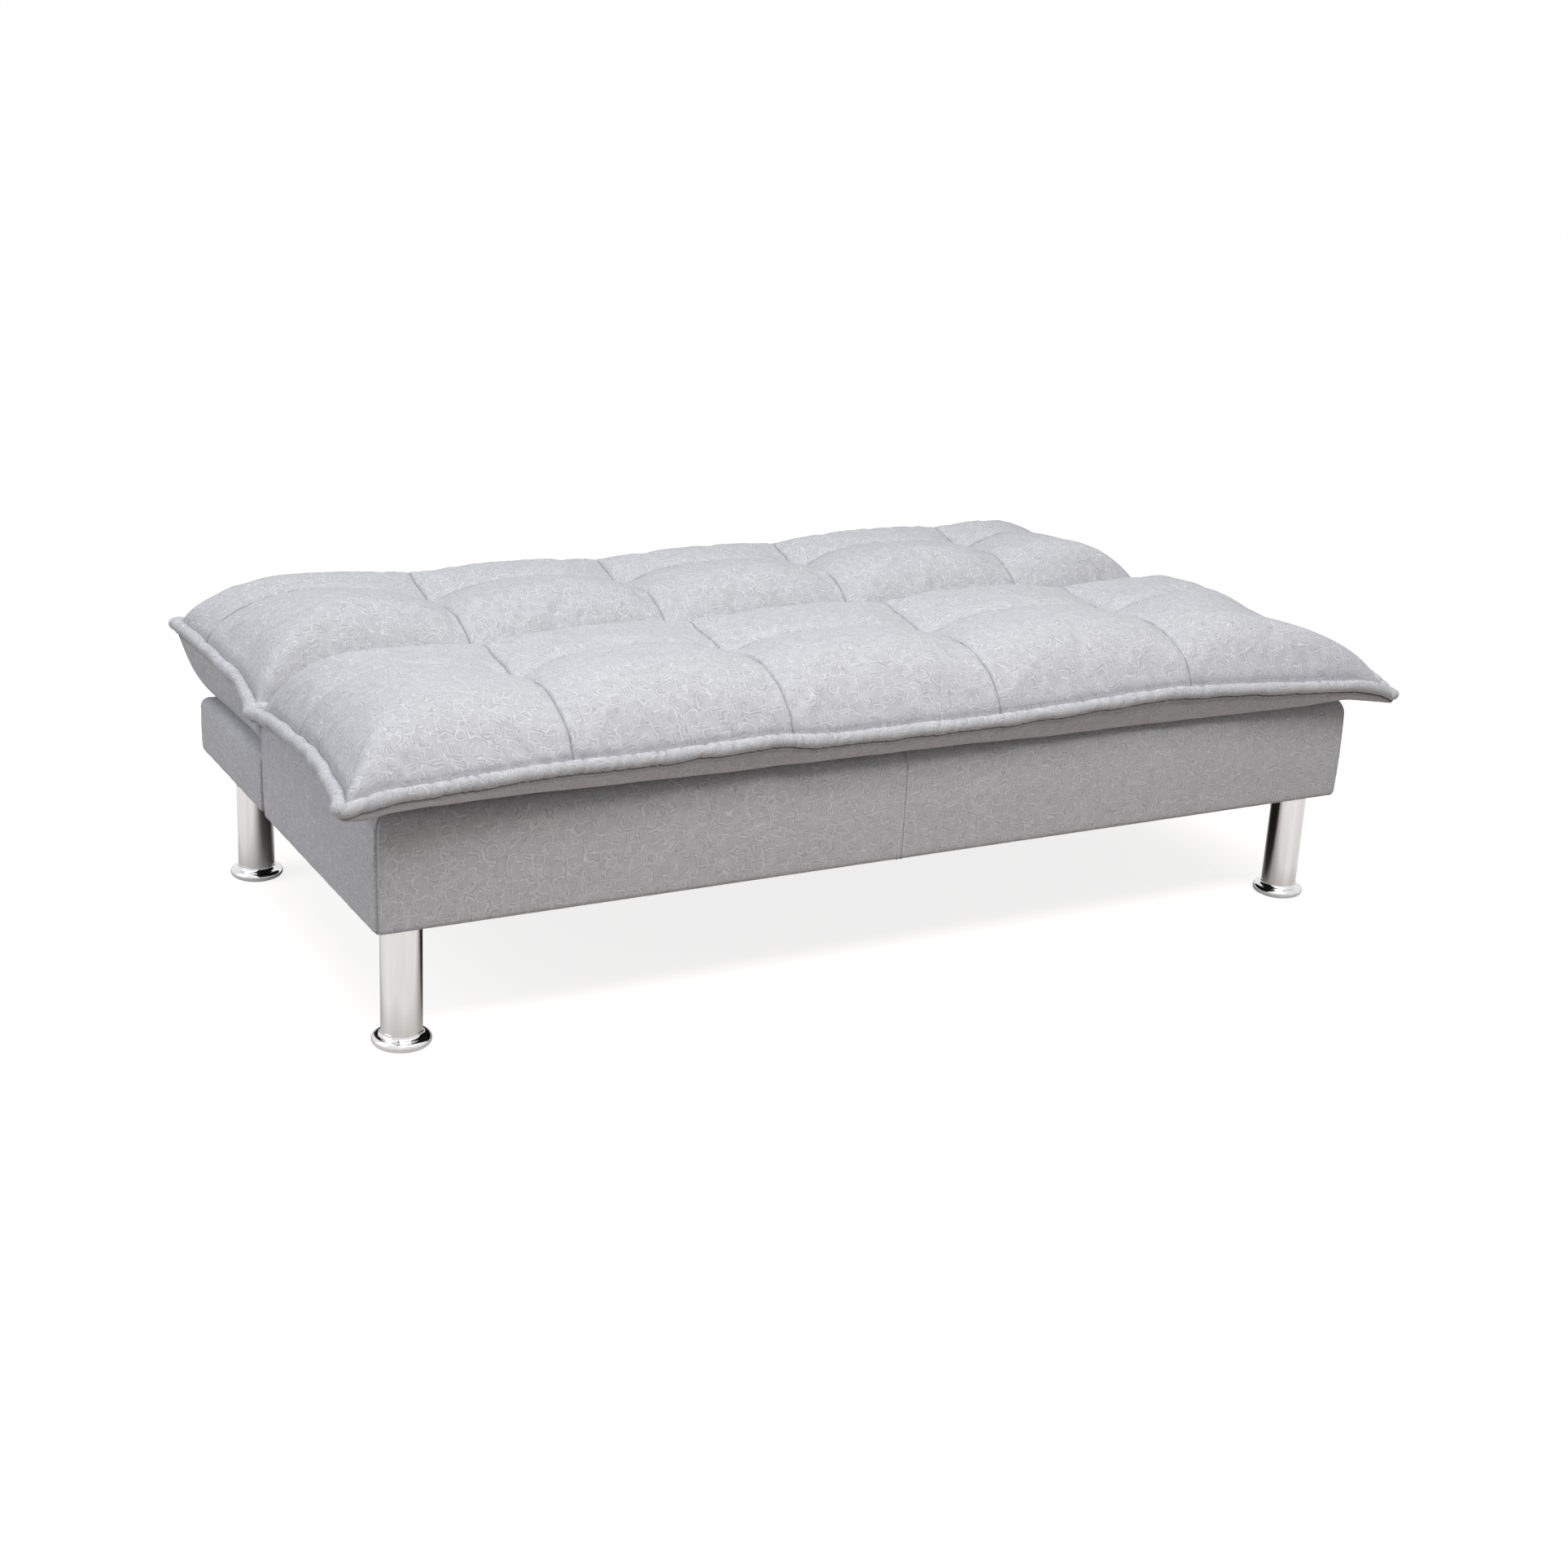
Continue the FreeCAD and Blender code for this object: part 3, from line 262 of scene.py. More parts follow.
# 0 at the sewn edge, 1 past the run, steep at first as a stuffed edge is
def swell(distance, run, power):
    return np.sin(np.pi / 2 * np.clip(distance / run, 0, 1)) ** power


# 1 on a line or at a spot, and nothing a few widths away
def mound(distance, width, power=2):
    return np.exp(-(distance / width) ** power)


def softStep(x):
    x = np.clip(x, 0, 1)
    return x * x * (3 - 2 * x)


# smooths values that stand in a closed ring
def smoothRing(values, rounds):
    for _ in range(rounds):
        values = (np.roll(values, 1) + 2 * values + np.roll(values, -1)) / 4
    return values


# places from 0 to 1 along a stretch, close together at both ends
def stepsBetween(length, fine, coarse):
    fine = np.asarray(fine, float)
    middle = length - 2 * fine[-1]
    count = max(2, int(round(middle / coarse)))
    inner = fine[-1] + middle * np.arange(1, count) / count
    full = np.concatenate([fine, inner, length - fine[::-1]])
    return full / length


def gridNormals(points):
    du = np.gradient(points, axis=1)
    dv = np.gradient(points, axis=0)
    n = np.cross(du, dv)
    return n / np.maximum(np.linalg.norm(n, axis=2, keepdims=True), 1e-9)


def walkedAlong(points):                                  # how far each point is along a line of them
    return np.concatenate([[0], np.cumsum(np.linalg.norm(np.diff(points, axis=0), axis=1))])


def roundCentres(x0, x1, y0, y1, r):                      # of a rectangle's corners, from the front left
    return [(x0 + r, y0 + r), (x1 - r, y0 + r), (x1 - r, y1 - r), (x0 + r, y1 - r)]


def gridFaces(rows, columns):
    return [(r * columns + k, r * columns + k + 1, (r + 1) * columns + k + 1, (r + 1) * columns + k)
            for r in range(rows - 1) for k in range(columns - 1)]


# between rings of points, each ring after the other from the point called first
def ringFaces(first, rings, count):
    faces = []
    for j in range(rings - 1):
        upper, lower = first + j * count, first + (j + 1) * count
        for i in range(count):
            k = (i + 1) % count
            faces.append((upper + i, lower + i, lower + k, upper + k))
    return faces


# weave is the place on the flat cloth before it was sewn, which the woven pattern follows
def makeMesh(name, points, faces, shade=None, material=None, weave=None):
    mesh = bpy.data.meshes.new(name)
    mesh.from_pydata([tuple(p) for p in np.asarray(points) * mm], [], faces)
    mesh.update()
    if shade is not None:
        layer = mesh.attributes.new("seamShade", "FLOAT", "POINT")
        layer.data.foreach_set("value", np.asarray(shade, np.float32))
    if weave is not None:
        layer = mesh.attributes.new("weave", "FLOAT_VECTOR", "POINT")
        across = np.column_stack([np.asarray(weave) * mm, np.zeros(len(weave))])
        layer.data.foreach_set("vector", across.astype(np.float32).ravel())
    obj = bpy.data.objects.new(name, mesh)
    bpy.context.scene.collection.objects.link(obj)
    mesh.polygons.foreach_set("use_smooth", [True] * len(mesh.polygons))
    if material:
        mesh.materials.append(material)
    return obj


# each cushion is a pillow top of two rows of five, quilted by cross seams and one long seam, with a rolled
# sewn edge and a boxed underside; a curve is its places and its values; sides go front, right, rear, left
seatCushion = {
    "name": "seatCushion", "body": "base", "node": "seat_cushion", "phase": 0.7,
    "corners": [(-934, -500), (925, -483), (876, 88), (-885, 87)],  # of the edge seam, from the front left
    "pull": [26, 30, 0, 24],  # how far the sides are pulled in
    "jointSide": 2,  # the side that meets the other cushion
    "frontHeights": ([0, 0.03, 0.06, 0.11, 0.17, 0.245, 0.31, 0.355, 0.4, 0.47, 0.59, 0.65, 0.72, 0.75, 0.8,
                      0.83, 0.88, 0.93, 0.965, 0.985, 1],
                     [410, 419, 421, 425, 428, 425, 427, 427, 419, 417, 416, 420, 424, 426, 421,
                      419, 413, 409, 405, 398, 387]),
    "rightHeights": ([0, 0.05, 0.1, 0.17, 0.3, 0.6, 0.85, 1], [387, 399, 408, 415, 415, 402, 388, 377]),
    "rearHeights": ([0, 0.05, 0.5, 0.95, 1], [373, 378, 384, 380, 377]),
    "leftHeights": ([0, 0.08, 0.3, 0.6, 0.85, 1], [410, 406, 403, 391, 381, 373]),
    "longSeam": -201, "longBend": 68,  # the long seam turns back at its ends
    "seamRows": [-481, -201, -1],  # y at which seams gives each seam's x
    "seams": [(-600, -575, -558), (-247, -222, -205), (123, 148, 165), (495, 520, 537)],
    "crossDip": [21, 18, 24, 22],
    "crossFade": ([-475, -430, -360, -130, -50, 20], [0.1, 0.6, 0.8, 1.05, 0.6, 0.25]),
    "tuftDip": [14, 10, 5, 3],
    "crownPlaces": [-760, -400, -40, 330, 700],
    "frontCrown": [509, 520, 518, 525, 525], "rearCrown": [493, 504, 511, 518, 510],
    "crownTurn": [-200, -85],  # from the front crowns to the rear ones
    "longDip": 12,
    "edgePowers": [0.56, 0.72, 1.05, 0.56],  # how steeply it swells from each edge, and over which run
    "frontRun": 148, "rearRun": 160, "leftRun": 142,
    "rightRuns": ([-450, -320, -210, -110, -10, 80], [330, 345, 185, 108, 165, 245]),
    "sideLower": (0.72, 0.14, 0.10),  # the side's lower edge: share of the way out, of the way up, tightness
    # lower edge of the front side along x: it hangs a little over the round top edge of the box
    "frontLower": ([-880, -836, -700, -600, -500, -390, -200, 0, 85, 165, 240, 400, 570, 657, 746, 800, 880],
                   [377, 376.5, 375.5, 371.5, 370, 366.5, 366, 364.5, 364, 361, 358.5, 358, 357.5, 358.5,
                    359.5, 361, 370]),
    "boxEdge": (-415, 29),  # where that round begins, and its radius
    "contact": (-826, 826, -394, 86, 367.4), "contactRadius": 42,  # where it lies on the box
}
backCushion = {
    "name": "backCushion", "body": "back", "node": "back_cushion", "phase": 2.9,
    "corners": [(-875, 118), (886, 118), (896, 488), (-897, 492)],
    "pull": [0, 6, 16, 16],
    "jointSide": 0,
    "frontHeights": ([0, 0.05, 0.5, 0.95, 1], [371, 377, 384, 379, 372]),
    "rightHeights": ([0, 0.2, 0.5, 0.85, 1], [372, 386, 396, 403, 406]),
    "rearHeights": ([0, 0.08, 0.5, 0.92, 1], [418, 409, 412, 407, 406]),
    "leftHeights": ([0, 0.2, 0.5, 0.85, 1], [371, 386, 397, 410, 418]),
    "longSeam": 335, "longBend": 55,
    "seamRows": [130, 335, 480],
    "seams": [(-510, -510, -510), (-155, -155, -155), (207, 207, 207), (572, 572, 572)],
    "crossDip": [34, 26, 25, 24],
    "crossFade": ([150, 230, 360, 412, 458], [1.1, 1.05, 0.85, 0.62, 0.02]),
    "tuftDip": [3, 10, 13, 6],
    "crownPlaces": [-760, -330, 27, 390, 720],
    "frontCrown": [503, 505, 510, 523, 526], "rearCrown": [503, 503, 508, 521, 525],
    "crownTurn": [330, 400],
    "longDip": 14,
    "edgePowers": [0.52, 0.6, 0.5, 0.56],
    "frontRun": 112, "rearRun": 54, "leftRun": 180,
    "rightRuns": ([119, 250, 488], [160, 215, 235]),
    "sideLower": (0.66, 0.24, 0.22),
    "contact": (-846, 846, 120, 448, 289.4), "contactRadius": 46,
}
quilting = {
    "edgeWave": (171, 96), "edgeWaveDepths": (0.3, 1.6, 2.6),  # at the joint, on the long sides, at the ends
    "bowPower": 0.55,
    "bendFrom": 540, "bendRun": 380,  # x where the long seam starts to turn, and its reach
    "seamReach": (30, 60),  # the cross seams' curves go on so far past the rows
    "settleRounds": 6,  # finds seams and edges that depend on each other
    "cornerFullness": 4.0, "fullHold": 1.1,
    "crossWidth": 66.0, "crossPower": 1.25, "crossRound": 4.0,
    "longWidth": 42.0,
    "tuftWidth": 42.0, "tuftRound": 6.0,
    "creaseDepth": 3.4, "creaseWidth": 2.3, "creasePower": 1.3,
    "gatherDepth": 2.3, "gatherReach": 22.0, "gatherWave": (29, 41),
    "puckerDepth": 0.5, "puckerWave": (23, 37),
    "looseDepth": 0.8, "looseWaves": ((83, 131), (71, 113)), "looseWander": (37, 61),
    # painted shade: darker down the seam creases and along the edge seam
    "creaseShade": 0.8, "creaseShadePower": 2.2, "rimShade": 0.55, "rimShadeReach": 1.6,
    "clothApart": 1000,  # so that no two pieces show the same stretch of cloth
    "fineSteps": [0, 1.2, 2.6, 4.4, 7.0, 10.4, 15], "coarseStep": 5.4, "pillowWidth": 355,
}


# place across one side of the edge seam: y along front and rear, x along right and left
def sideOutline(c, side, at):
    q = quilting
    a, b = c["corners"][side], c["corners"][(side + 1) % 4]
    along = 0 if side in (0, 2) else 1
    f = np.clip((at - a[along]) / (b[along] - a[along]), 0, 1)
    straight = a[1 - along] + f * (b[1 - along] - a[1 - along])
    inward = (1, -1, -1, 1)[side]
    bow = np.sin(np.pi * f) ** q["bowPower"]
    waveDepth = q["edgeWaveDepths"][0 if side == c["jointSide"] else 1 + along]
    wave = unevenWave(at, q["edgeWave"], c["phase"] + side) * waveDepth * bow
    return straight + inward * (c["pull"][side] * bow + wave)


def edgeHeights(c, x, y):
    (x0, y0), (x1, y1), (x2, y2), (x3, y3) = c["corners"]
    shares = {"front": (x - x0) / (x1 - x0), "right": (y - y1) / (y2 - y1),
              "rear": (x - x3) / (x2 - x3), "left": (y - y0) / (y3 - y0)}
    return [curveThrough(*c[side + "Heights"], share) for side, share in shares.items()]


# the top sheet: u runs 0 to 5 over the pillows and v 0 to 2 over the rows
def pillowTop(c, u, v):
    q = quilting
    x = np.interp(u, [0, 5], [c["corners"][0][0], c["corners"][1][0]])
    y = np.interp(v, [0, 2], [c["corners"][0][1], c["corners"][3][1]])
    rows = c["seamRows"]
    before, past = q["seamReach"]
    for _ in range(q["settleRounds"]):
        reached = np.clip(y, rows[0] - before, rows[2] + past)
        seamX = [np.polyval(np.polyfit(rows, s, 2), reached) for s in c["seams"]]
        lines = [sideOutline(c, 3, y)] + seamX + [sideOutline(c, 1, y)]
        lane = np.clip(np.floor(u).astype(int), 0, 4)
        low = np.choose(lane, lines[:5])
        high = np.choose(lane, lines[1:])
        x = low + (u - lane) * (high - low)
        front, rear = sideOutline(c, 0, x), sideOutline(c, 2, x)
        longSeam = c["longSeam"] + c["longBend"] * softStep((np.abs(x) - q["bendFrom"]) / q["bendRun"])
        y = np.where(v < 1, front + v * (longSeam - front), longSeam + (v - 1) * (rear - longSeam))
    left, right = lines[0], lines[5]
    fromFront, fromRear = y - front, rear - y
    fromLeft, fromRight = x - left, right - x

    # a sheet between the four edges, and the pillows' swell above it
    zFront, zRight, zRear, zLeft = edgeHeights(c, x, y)
    s = np.clip(fromLeft / (right - left), 0, 1)
    t = np.clip(fromFront / (rear - front), 0, 1)
    cornersZ = [c["frontHeights"][1][0], c["frontHeights"][1][-1],
                c["rightHeights"][1][-1], c["leftHeights"][1][-1]]
    base = ((1 - t) * zFront + t * zRear + (1 - s) * zLeft + s * zRight
            - (1 - s) * (1 - t) * cornersZ[0] - s * (1 - t) * cornersZ[1]
            - s * t * cornersZ[2] - (1 - s) * t * cornersZ[3])
    runs = (c["frontRun"], curveThrough(*c["rightRuns"], y), c["rearRun"], c["leftRun"])
    swells = [swell(d, run, power) for d, run, power in
              zip((fromFront, fromRight, fromRear, fromLeft), runs, c["edgePowers"])]
    m = q["cornerFullness"]
    rise = 1 - np.clip(sum((1 - one) ** m for one in swells), 0, 1) ** (1 / m)
    turn = softStep((y - c["crownTurn"][0]) / (c["crownTurn"][1] - c["crownTurn"][0]))
    crown = (1 - turn) * curveThrough(c["crownPlaces"], c["frontCrown"], x) + \
        turn * curveThrough(c["crownPlaces"], c["rearCrown"], x)
    z = base + (crown - base) * rise

    # seams and tufts draw it down, less so near the edge
    hold = np.clip(rise * q["fullHold"], 0, 1)
    dips = np.zeros_like(z)
    crease = np.zeros_like(z)
    fade = curveThrough(*c["crossFade"], y)
    for line, seam, crossDip, tuftDip in zip(seamX, c["seams"], c["crossDip"], c["tuftDip"]):
        away = np.abs(x - line)
        fromSeam = np.sqrt(away ** 2 + q["crossRound"] ** 2) - q["crossRound"]
        fromTuft = np.sqrt(np.hypot(x - seam[1], y - longSeam) ** 2 + q["tuftRound"] ** 2) - q["tuftRound"]
        dips += crossDip * fade * mound(fromSeam, q["crossWidth"], q["crossPower"])
        dips += tuftDip * mound(fromTuft, q["tuftWidth"], 1)
        crease = np.maximum(crease, mound(away, q["creaseWidth"], q["creasePower"]))
    awayLong = np.abs(y - longSeam)
    dips += c["longDip"] * mound(awayLong, q["longWidth"], 1)
    crease = np.maximum(crease, mound(awayLong, q["creaseWidth"], q["creasePower"]))
    z = z - hold * dips
    edge = np.minimum(np.minimum(fromFront, fromRear), np.minimum(fromLeft, fromRight))
    return np.stack([x, y, z], axis=2), crease, edge


# creases at the seams and gathers at the edge, pressed in along the surface's own normal
def pillowDetail(c, points, crease, edge):
    q = quilting
    x, y = points[:, :, 0], points[:, :, 1]
    gather = q["gatherDepth"] * unevenWave(x + 1.1 * y, q["gatherWave"], c["phase"]) * \
        mound(edge, q["gatherReach"], 1)
    pucker = q["puckerDepth"] * unevenWave(x * 0.8 + y, q["puckerWave"], c["phase"] + 1.1) * \
        np.clip(crease ** 0.2, 0, 1) * (1 - crease)
    sway, swayLength = q["looseWander"]
    loose = q["looseDepth"] * unevenWave(y, q["looseWaves"][1], c["phase"] + 4) * \
        unevenWave(x + sway * np.sin(y / swayLength), q["looseWaves"][0], c["phase"] + 2)
    pressed = q["creaseDepth"] * crease * np.clip((edge + 2) / 10, 0.15, 1)
    depth = (pressed + gather + pucker + loose) * np.clip(edge / 2.5, 0, 1)
    return points - gridNormals(points) * depth[:, :, None]


clothTrial = {
    "columns": 30, "rows": 26,  # of each pillow
    "seamHold": 0.85,  # 1 would pin the seams as the rim is pinned
    "frames": 20, "largestMove": 4.5,
    "cloth": {"quality": 6, "mass": 0.35, "tension_stiffness": 22, "compression_stiffness": 18,
              "shear_stiffness": 8, "bending_stiffness": 0.35, "use_pressure": True,
              "uniform_pressure_force": 4.0, "shrink_min": -0.010},
}


# what the coarse places give each fine place, by a smooth curve through four of them
def curveWeights(fineAt, coarseAt):
    last = len(coarseAt) - 1
    table = np.zeros((len(fineAt), len(coarseAt)))
    for row, p in enumerate(np.interp(fineAt, coarseAt, np.arange(len(coarseAt)))):
        i = int(min(math.floor(p), last - 1))
        f = p - i
        basis = [(-f + 2 * f ** 2 - f ** 3) / 2, (2 - 5 * f ** 2 + 3 * f ** 3) / 2,
                 (f + 4 * f ** 2 - 3 * f ** 3) / 2, (f ** 3 - f ** 2) / 2]
        for offset, w in zip((-1, 0, 1, 2), basis):
            table[row, min(max(i + offset, 0), last)] += w
    return table


# lets the quilted cloth settle under the filling's pressure, and gives how far each place moved
def simulateTop(c, u, v):
    inColumns, inRows = clothTrial["columns"], clothTrial["rows"]
    coarseU = np.concatenate([k + np.arange(inColumns) / inColumns for k in range(5)] + [[5.0]])
    coarseV = np.concatenate([k + np.arange(inRows) / inRows for k in range(2)] + [[2.0]])
    gridU, gridV = np.meshgrid(coarseU, coarseV)
    points = pillowTop(c, gridU, gridV)[0]
    rows, columns = gridU.shape
    cloth = makeMesh("clothTrial", points.reshape(-1, 3), gridFaces(rows, columns))
    group = cloth.vertex_groups.new(name="sewn")
    onLine = (np.abs(gridU - np.round(gridU)) < 1e-6) | (np.abs(gridV - 1) < 1e-6)
    rim = (gridU == 0) | (gridU == 5) | (gridV == 0) | (gridV == 2)
    weights = np.where(rim, 1.0, np.where(onLine, clothTrial["seamHold"], 0.0)).ravel()
    for index in np.nonzero(weights)[0]:
        group.add([int(index)], float(weights[index]), "REPLACE")
    modifier = cloth.modifiers.new("cloth", "CLOTH")
    for key, value in clothTrial["cloth"].items():
        setattr(modifier.settings, key, value)
    modifier.settings.vertex_group_mass = "sewn"
    modifier.settings.effector_weights.gravity = 0.0
    modifier.collision_settings.use_collision = False
    modifier.collision_settings.use_self_collision = False
    modifier.point_cache.frame_start = 1
    modifier.point_cache.frame_end = clothTrial["frames"]
    scene = bpy.context.scene
    for number in range(1, clothTrial["frames"] + 1):
        scene.frame_set(number)
    seen = cloth.evaluated_get(bpy.context.evaluated_depsgraph_get())
    moved = np.empty(len(seen.data.vertices) * 3)
    seen.data.vertices.foreach_get("co", moved)
    shift = moved.reshape(rows, columns, 3) * 1000 - points
    scene.frame_set(1)
    mesh = cloth.data
    bpy.data.objects.remove(cloth)
    bpy.data.meshes.remove(mesh)
    length = np.linalg.norm(shift, axis=2, keepdims=True)
    largest = clothTrial["largestMove"]
    shift = shift * (largest * np.tanh(length / largest) / np.maximum(length, 1e-6))
    print("  ", c["name"], "cloth settled, largest move", round(float(length.max()), 1), "mm")
    return np.einsum("ri,ijk,cj->rck", curveWeights(v, coarseV), shift, curveWeights(u, coarseU))


# walks round the edge seam, a column for each edge vertex and a fan of columns at each corner; a column is
# its vertex, the way out in x and y, its side, its share of the side (-1 at a corner) and of the corner
def edgeColumns(points):
    rows, columns = points.shape[:2]
    ids = np.arange(rows * columns).reshape(rows, columns)
    sides = [ids[0, :], ids[:, -1], ids[-1, ::-1], ids[::-1, 0]]
    flat = points.reshape(-1, 3)
    fans, smoothRounds = 9, 4
    found = []
    sideNormals = []
    for side in sides:
        smooth = flat[side][:, :2].copy()
        for _ in range(smoothRounds):
            smooth[1:-1] = (smooth[:-2] + smooth[1:-1] * 2 + smooth[2:]) / 4
        t = np.gradient(smooth, axis=0)
        n = np.stack([t[:, 1], -t[:, 0]], axis=1)
        sideNormals.append(n / np.linalg.norm(n, axis=1, keepdims=True))
    for k, side in enumerate(sides):
        before, after = sideNormals[k - 1][-1], sideNormals[k][0]
        a0 = math.atan2(before[1], before[0])
        a1 = math.atan2(after[1], after[0])
        while a1 < a0:
            a1 += 2 * math.pi
        for j in range(fans):
            a = a0 + (a1 - a0) * j / (fans - 1)
            found.append((side[0], math.cos(a), math.sin(a), k, -1.0, j / (fans - 1)))
        travelled = walkedAlong(flat[side])
        for j in range(1, len(side) - 1):
            n = sideNormals[k][j]
            found.append((side[j], n[0], n[1], k, travelled[j] / travelled[-1], 0.0))
    return found


# where a column of the underside meets the box, on a rounded rectangle
def contactPlace(c, side, along, turn):
    z, r = c["contact"][4], c["contactRadius"]
    centres = roundCentres(*c["contact"][:4], r)
    if along < 0:
        a = math.pi + side * quarter + turn * quarter
        cx, cy = centres[side]
        return np.array([cx + r * math.cos(a), cy + r * math.sin(a), z])
    a = math.pi * 1.5 + side * quarter
    sx, sy = centres[side]
    ex, ey = centres[(side + 1) % 4]
    start = np.array([sx + r * math.cos(a), sy + r * math.sin(a), z])
    end = np.array([ex + r * math.cos(a), ey + r * math.sin(a), z])
    return start + (end - start) * along


# how far the round front edge of the box below has fallen away at each y
def roundedEdge(c, y):
    if "boxEdge" not in c:
        return 0.0
    begins, radius = c["boxEdge"]
    past = np.clip(begins - y, 0, radius)
    return np.where(begins - y < radius, radius - np.sqrt(radius ** 2 - past ** 2), 1000.0)


rolledEdge = {
    "roll": 10.2, "rollJoint": 7.2,  # radius of the roll, and where the cushions meet
    "outAndDown": (0.866, 0.5),  # radii from the seam to the roll's centre
    "steps": 12, "firstAngle": 150, "turned": 262,  # degrees
    "fullestAt": -0.35,  # radians, where the roll is drawn in least
    "fineWave": (9.5, 13.7), "fineSwell": (110,), "fineDepth": (0.025, 0.045),
    "plumpWave": (88, 143), "plumpDepth": 0.035, "plumpRadius": 0.05,
    "pinchEvery": (12, 38), "pinchStrength": (0.3, 1), "pinchWidth": (1.8, 4.2),
    "pinchDepth": (1.2, 1.6), "pinchSlant": 2.4, "pinchShade": (0.16, 0.3),
    "foldShade": 0.7,  # painted shade on the last row of the roll, where it meets the welt
    "jointRounds": 6, "frontRounds": 10,  # smooth the change from one side to the next
    # a fine welt under the roll: how far out and down, and how much painted shade it has in the folds beside
    # it
    "welt": ((-1.4, 0.8, 1.0), (-0.2, 2.2, 0.9), (2.6, 3.4, 0.0), (3.2, 5.0, 0.0), (2.2, 6.4, 0.0),
             (-0.8, 7.0, 0.7)),
    "sideSteps": 16, "wrinkleWave": (33, 52), "wrinkleShift": 14,
    "wrinkleDepth": 1.3, "wrinkleFine": 0.35, "wrinklePinch": 1.2,
    "wrinkleAt": 0.12, "wrinkleReach": 0.3,  # shares of the way from the welt to the box
    "wrinkleRun": 40,  # they fade where the side is shorter
}


def makeCushion(c):
    q, e = quilting, rolledEdge
    uPlaces = stepsBetween(q["pillowWidth"], q["fineSteps"], q["coarseStep"])[:-1]
    u = np.concatenate([k + uPlaces for k in range(5)] + [[5.0]])
    depth = abs(c["corners"][3][1] - c["corners"][0][1]) / 2
    vPlaces = stepsBetween(depth, q["fineSteps"], q["coarseStep"])[:-1]
    v = np.concatenate([k + vPlaces for k in range(2)] + [[2.0]])
    gridU, gridV = np.meshgrid(u, v)
    points, crease, edge = pillowTop(c, gridU, gridV)
    points = points + simulateTop(c, u, v)
    points = pillowDetail(c, points, crease, edge)
    rows, columns = gridU.shape
    flat = points.reshape(-1, 3)
    alongRows = np.stack([walkedAlong(line) for line in points])
    alongColumns = np.stack([walkedAlong(line) for line in points.swapaxes(0, 1)], axis=1)
    apart = q["clothApart"] * c["phase"]
    weaveTop = np.stack([alongRows - alongRows[:, columns // 2][:, None],
                         alongColumns - alongColumns[rows // 2] + apart], axis=2).reshape(-1, 2)
    # painted shade in the seam creases and along the edge seam, where shade falls
    shade = (q["creaseShade"] * np.clip(crease, 0, 1) ** q["creaseShadePower"]
             + q["rimShade"] * mound(edge, q["rimShadeReach"], 1)).ravel()

    ring = edgeColumns(points)
    count = 2 * len(ring)

    def between(values):  # one more column half way to the next
        values = np.asarray(values, float)
        following = np.roll(values, -1, axis=0)
        return np.stack([values, (values + following) / 2], axis=1).reshape((count,) + values.shape[1:])

    start = between([flat[col[0]] for col in ring])
    normal = between([(col[1], col[2], 0.0) for col in ring])
    normal /= np.linalg.norm(normal, axis=1, keepdims=True)
    nearJoint = smoothRing(between([1.0 if col[3] == c["jointSide"] and 0.01 < col[4] < 0.99 else 0.0
                                    for col in ring]), e["jointRounds"])
    travelled = walkedAlong(start + normal * 10)
    length = travelled[-1] + 5

    # pinches at uneven places, where the sewn cloth is drawn in
    dice = np.random.RandomState(int(c["phase"] * 10))
    places = np.cumsum(dice.uniform(*e["pinchEvery"], int(length / e["pinchEvery"][0])))
    places = places[places < length]
    pinch = np.zeros(count)
    for place, deep, wide in zip(places, dice.uniform(*e["pinchStrength"], len(places)),
                                 dice.uniform(*e["pinchWidth"], len(places))):
        pinch = np.maximum(pinch, deep * mound(travelled - place, wide))
    fine = unevenWave(travelled, e["fineWave"], c["phase"] + 0.4) * \
        (0.6 + 0.4 * unevenWave(travelled, e["fineSwell"], c["phase"]))
    plump = unevenWave(travelled, e["plumpWave"], c["phase"] + 3)
    radius = (e["roll"] + (e["rollJoint"] - e["roll"]) * nearJoint) * \
        (1 + e["plumpRadius"] * plump * (1 - nearJoint))
    out, down = e["outAndDown"]
    centre = start + normal * (out * radius)[:, None] - up * (down * radius)[:, None]
    layers, layerShade = [], []
    for j in range(1, e["steps"] + 1):
        angle = math.radians(e["firstAngle"] - e["turned"] * j / e["steps"])
        ends = (abs(angle - e["fullestAt"]) / math.radians(e["firstAngle"])) ** 2  # drawn in where it is sewn
        slant = np.roll(pinch, int(round(e["pinchSlant"] * math.sin(angle))))
        fineDepth, pinchDepth, pinchShade = [e[part][0] + e[part][1] * ends
                                             for part in ("fineDepth", "pinchDepth", "pinchShade")]
        fold = radius * (1 + fineDepth * fine + e["plumpDepth"] * plump) - slant * pinchDepth
        layers.append(centre + normal * (fold * math.cos(angle))[:, None]
                      + up * (fold * math.sin(angle))[:, None])
        # painted shade: darker in the pinches and on the roll's last row, in the fold above the welt
        layerShade.append(slant * pinchShade + (e["foldShade"] if j == e["steps"] else 0.0))
    low = layers[-1]
    size = (radius / e["roll"])[:, None]
    for step, lower, dark in e["welt"]:
        layers.append(low + normal * step * size - up * lower * size)
        # painted shade in the folds above and below the welt
        layerShade.append(np.full(count, dark))

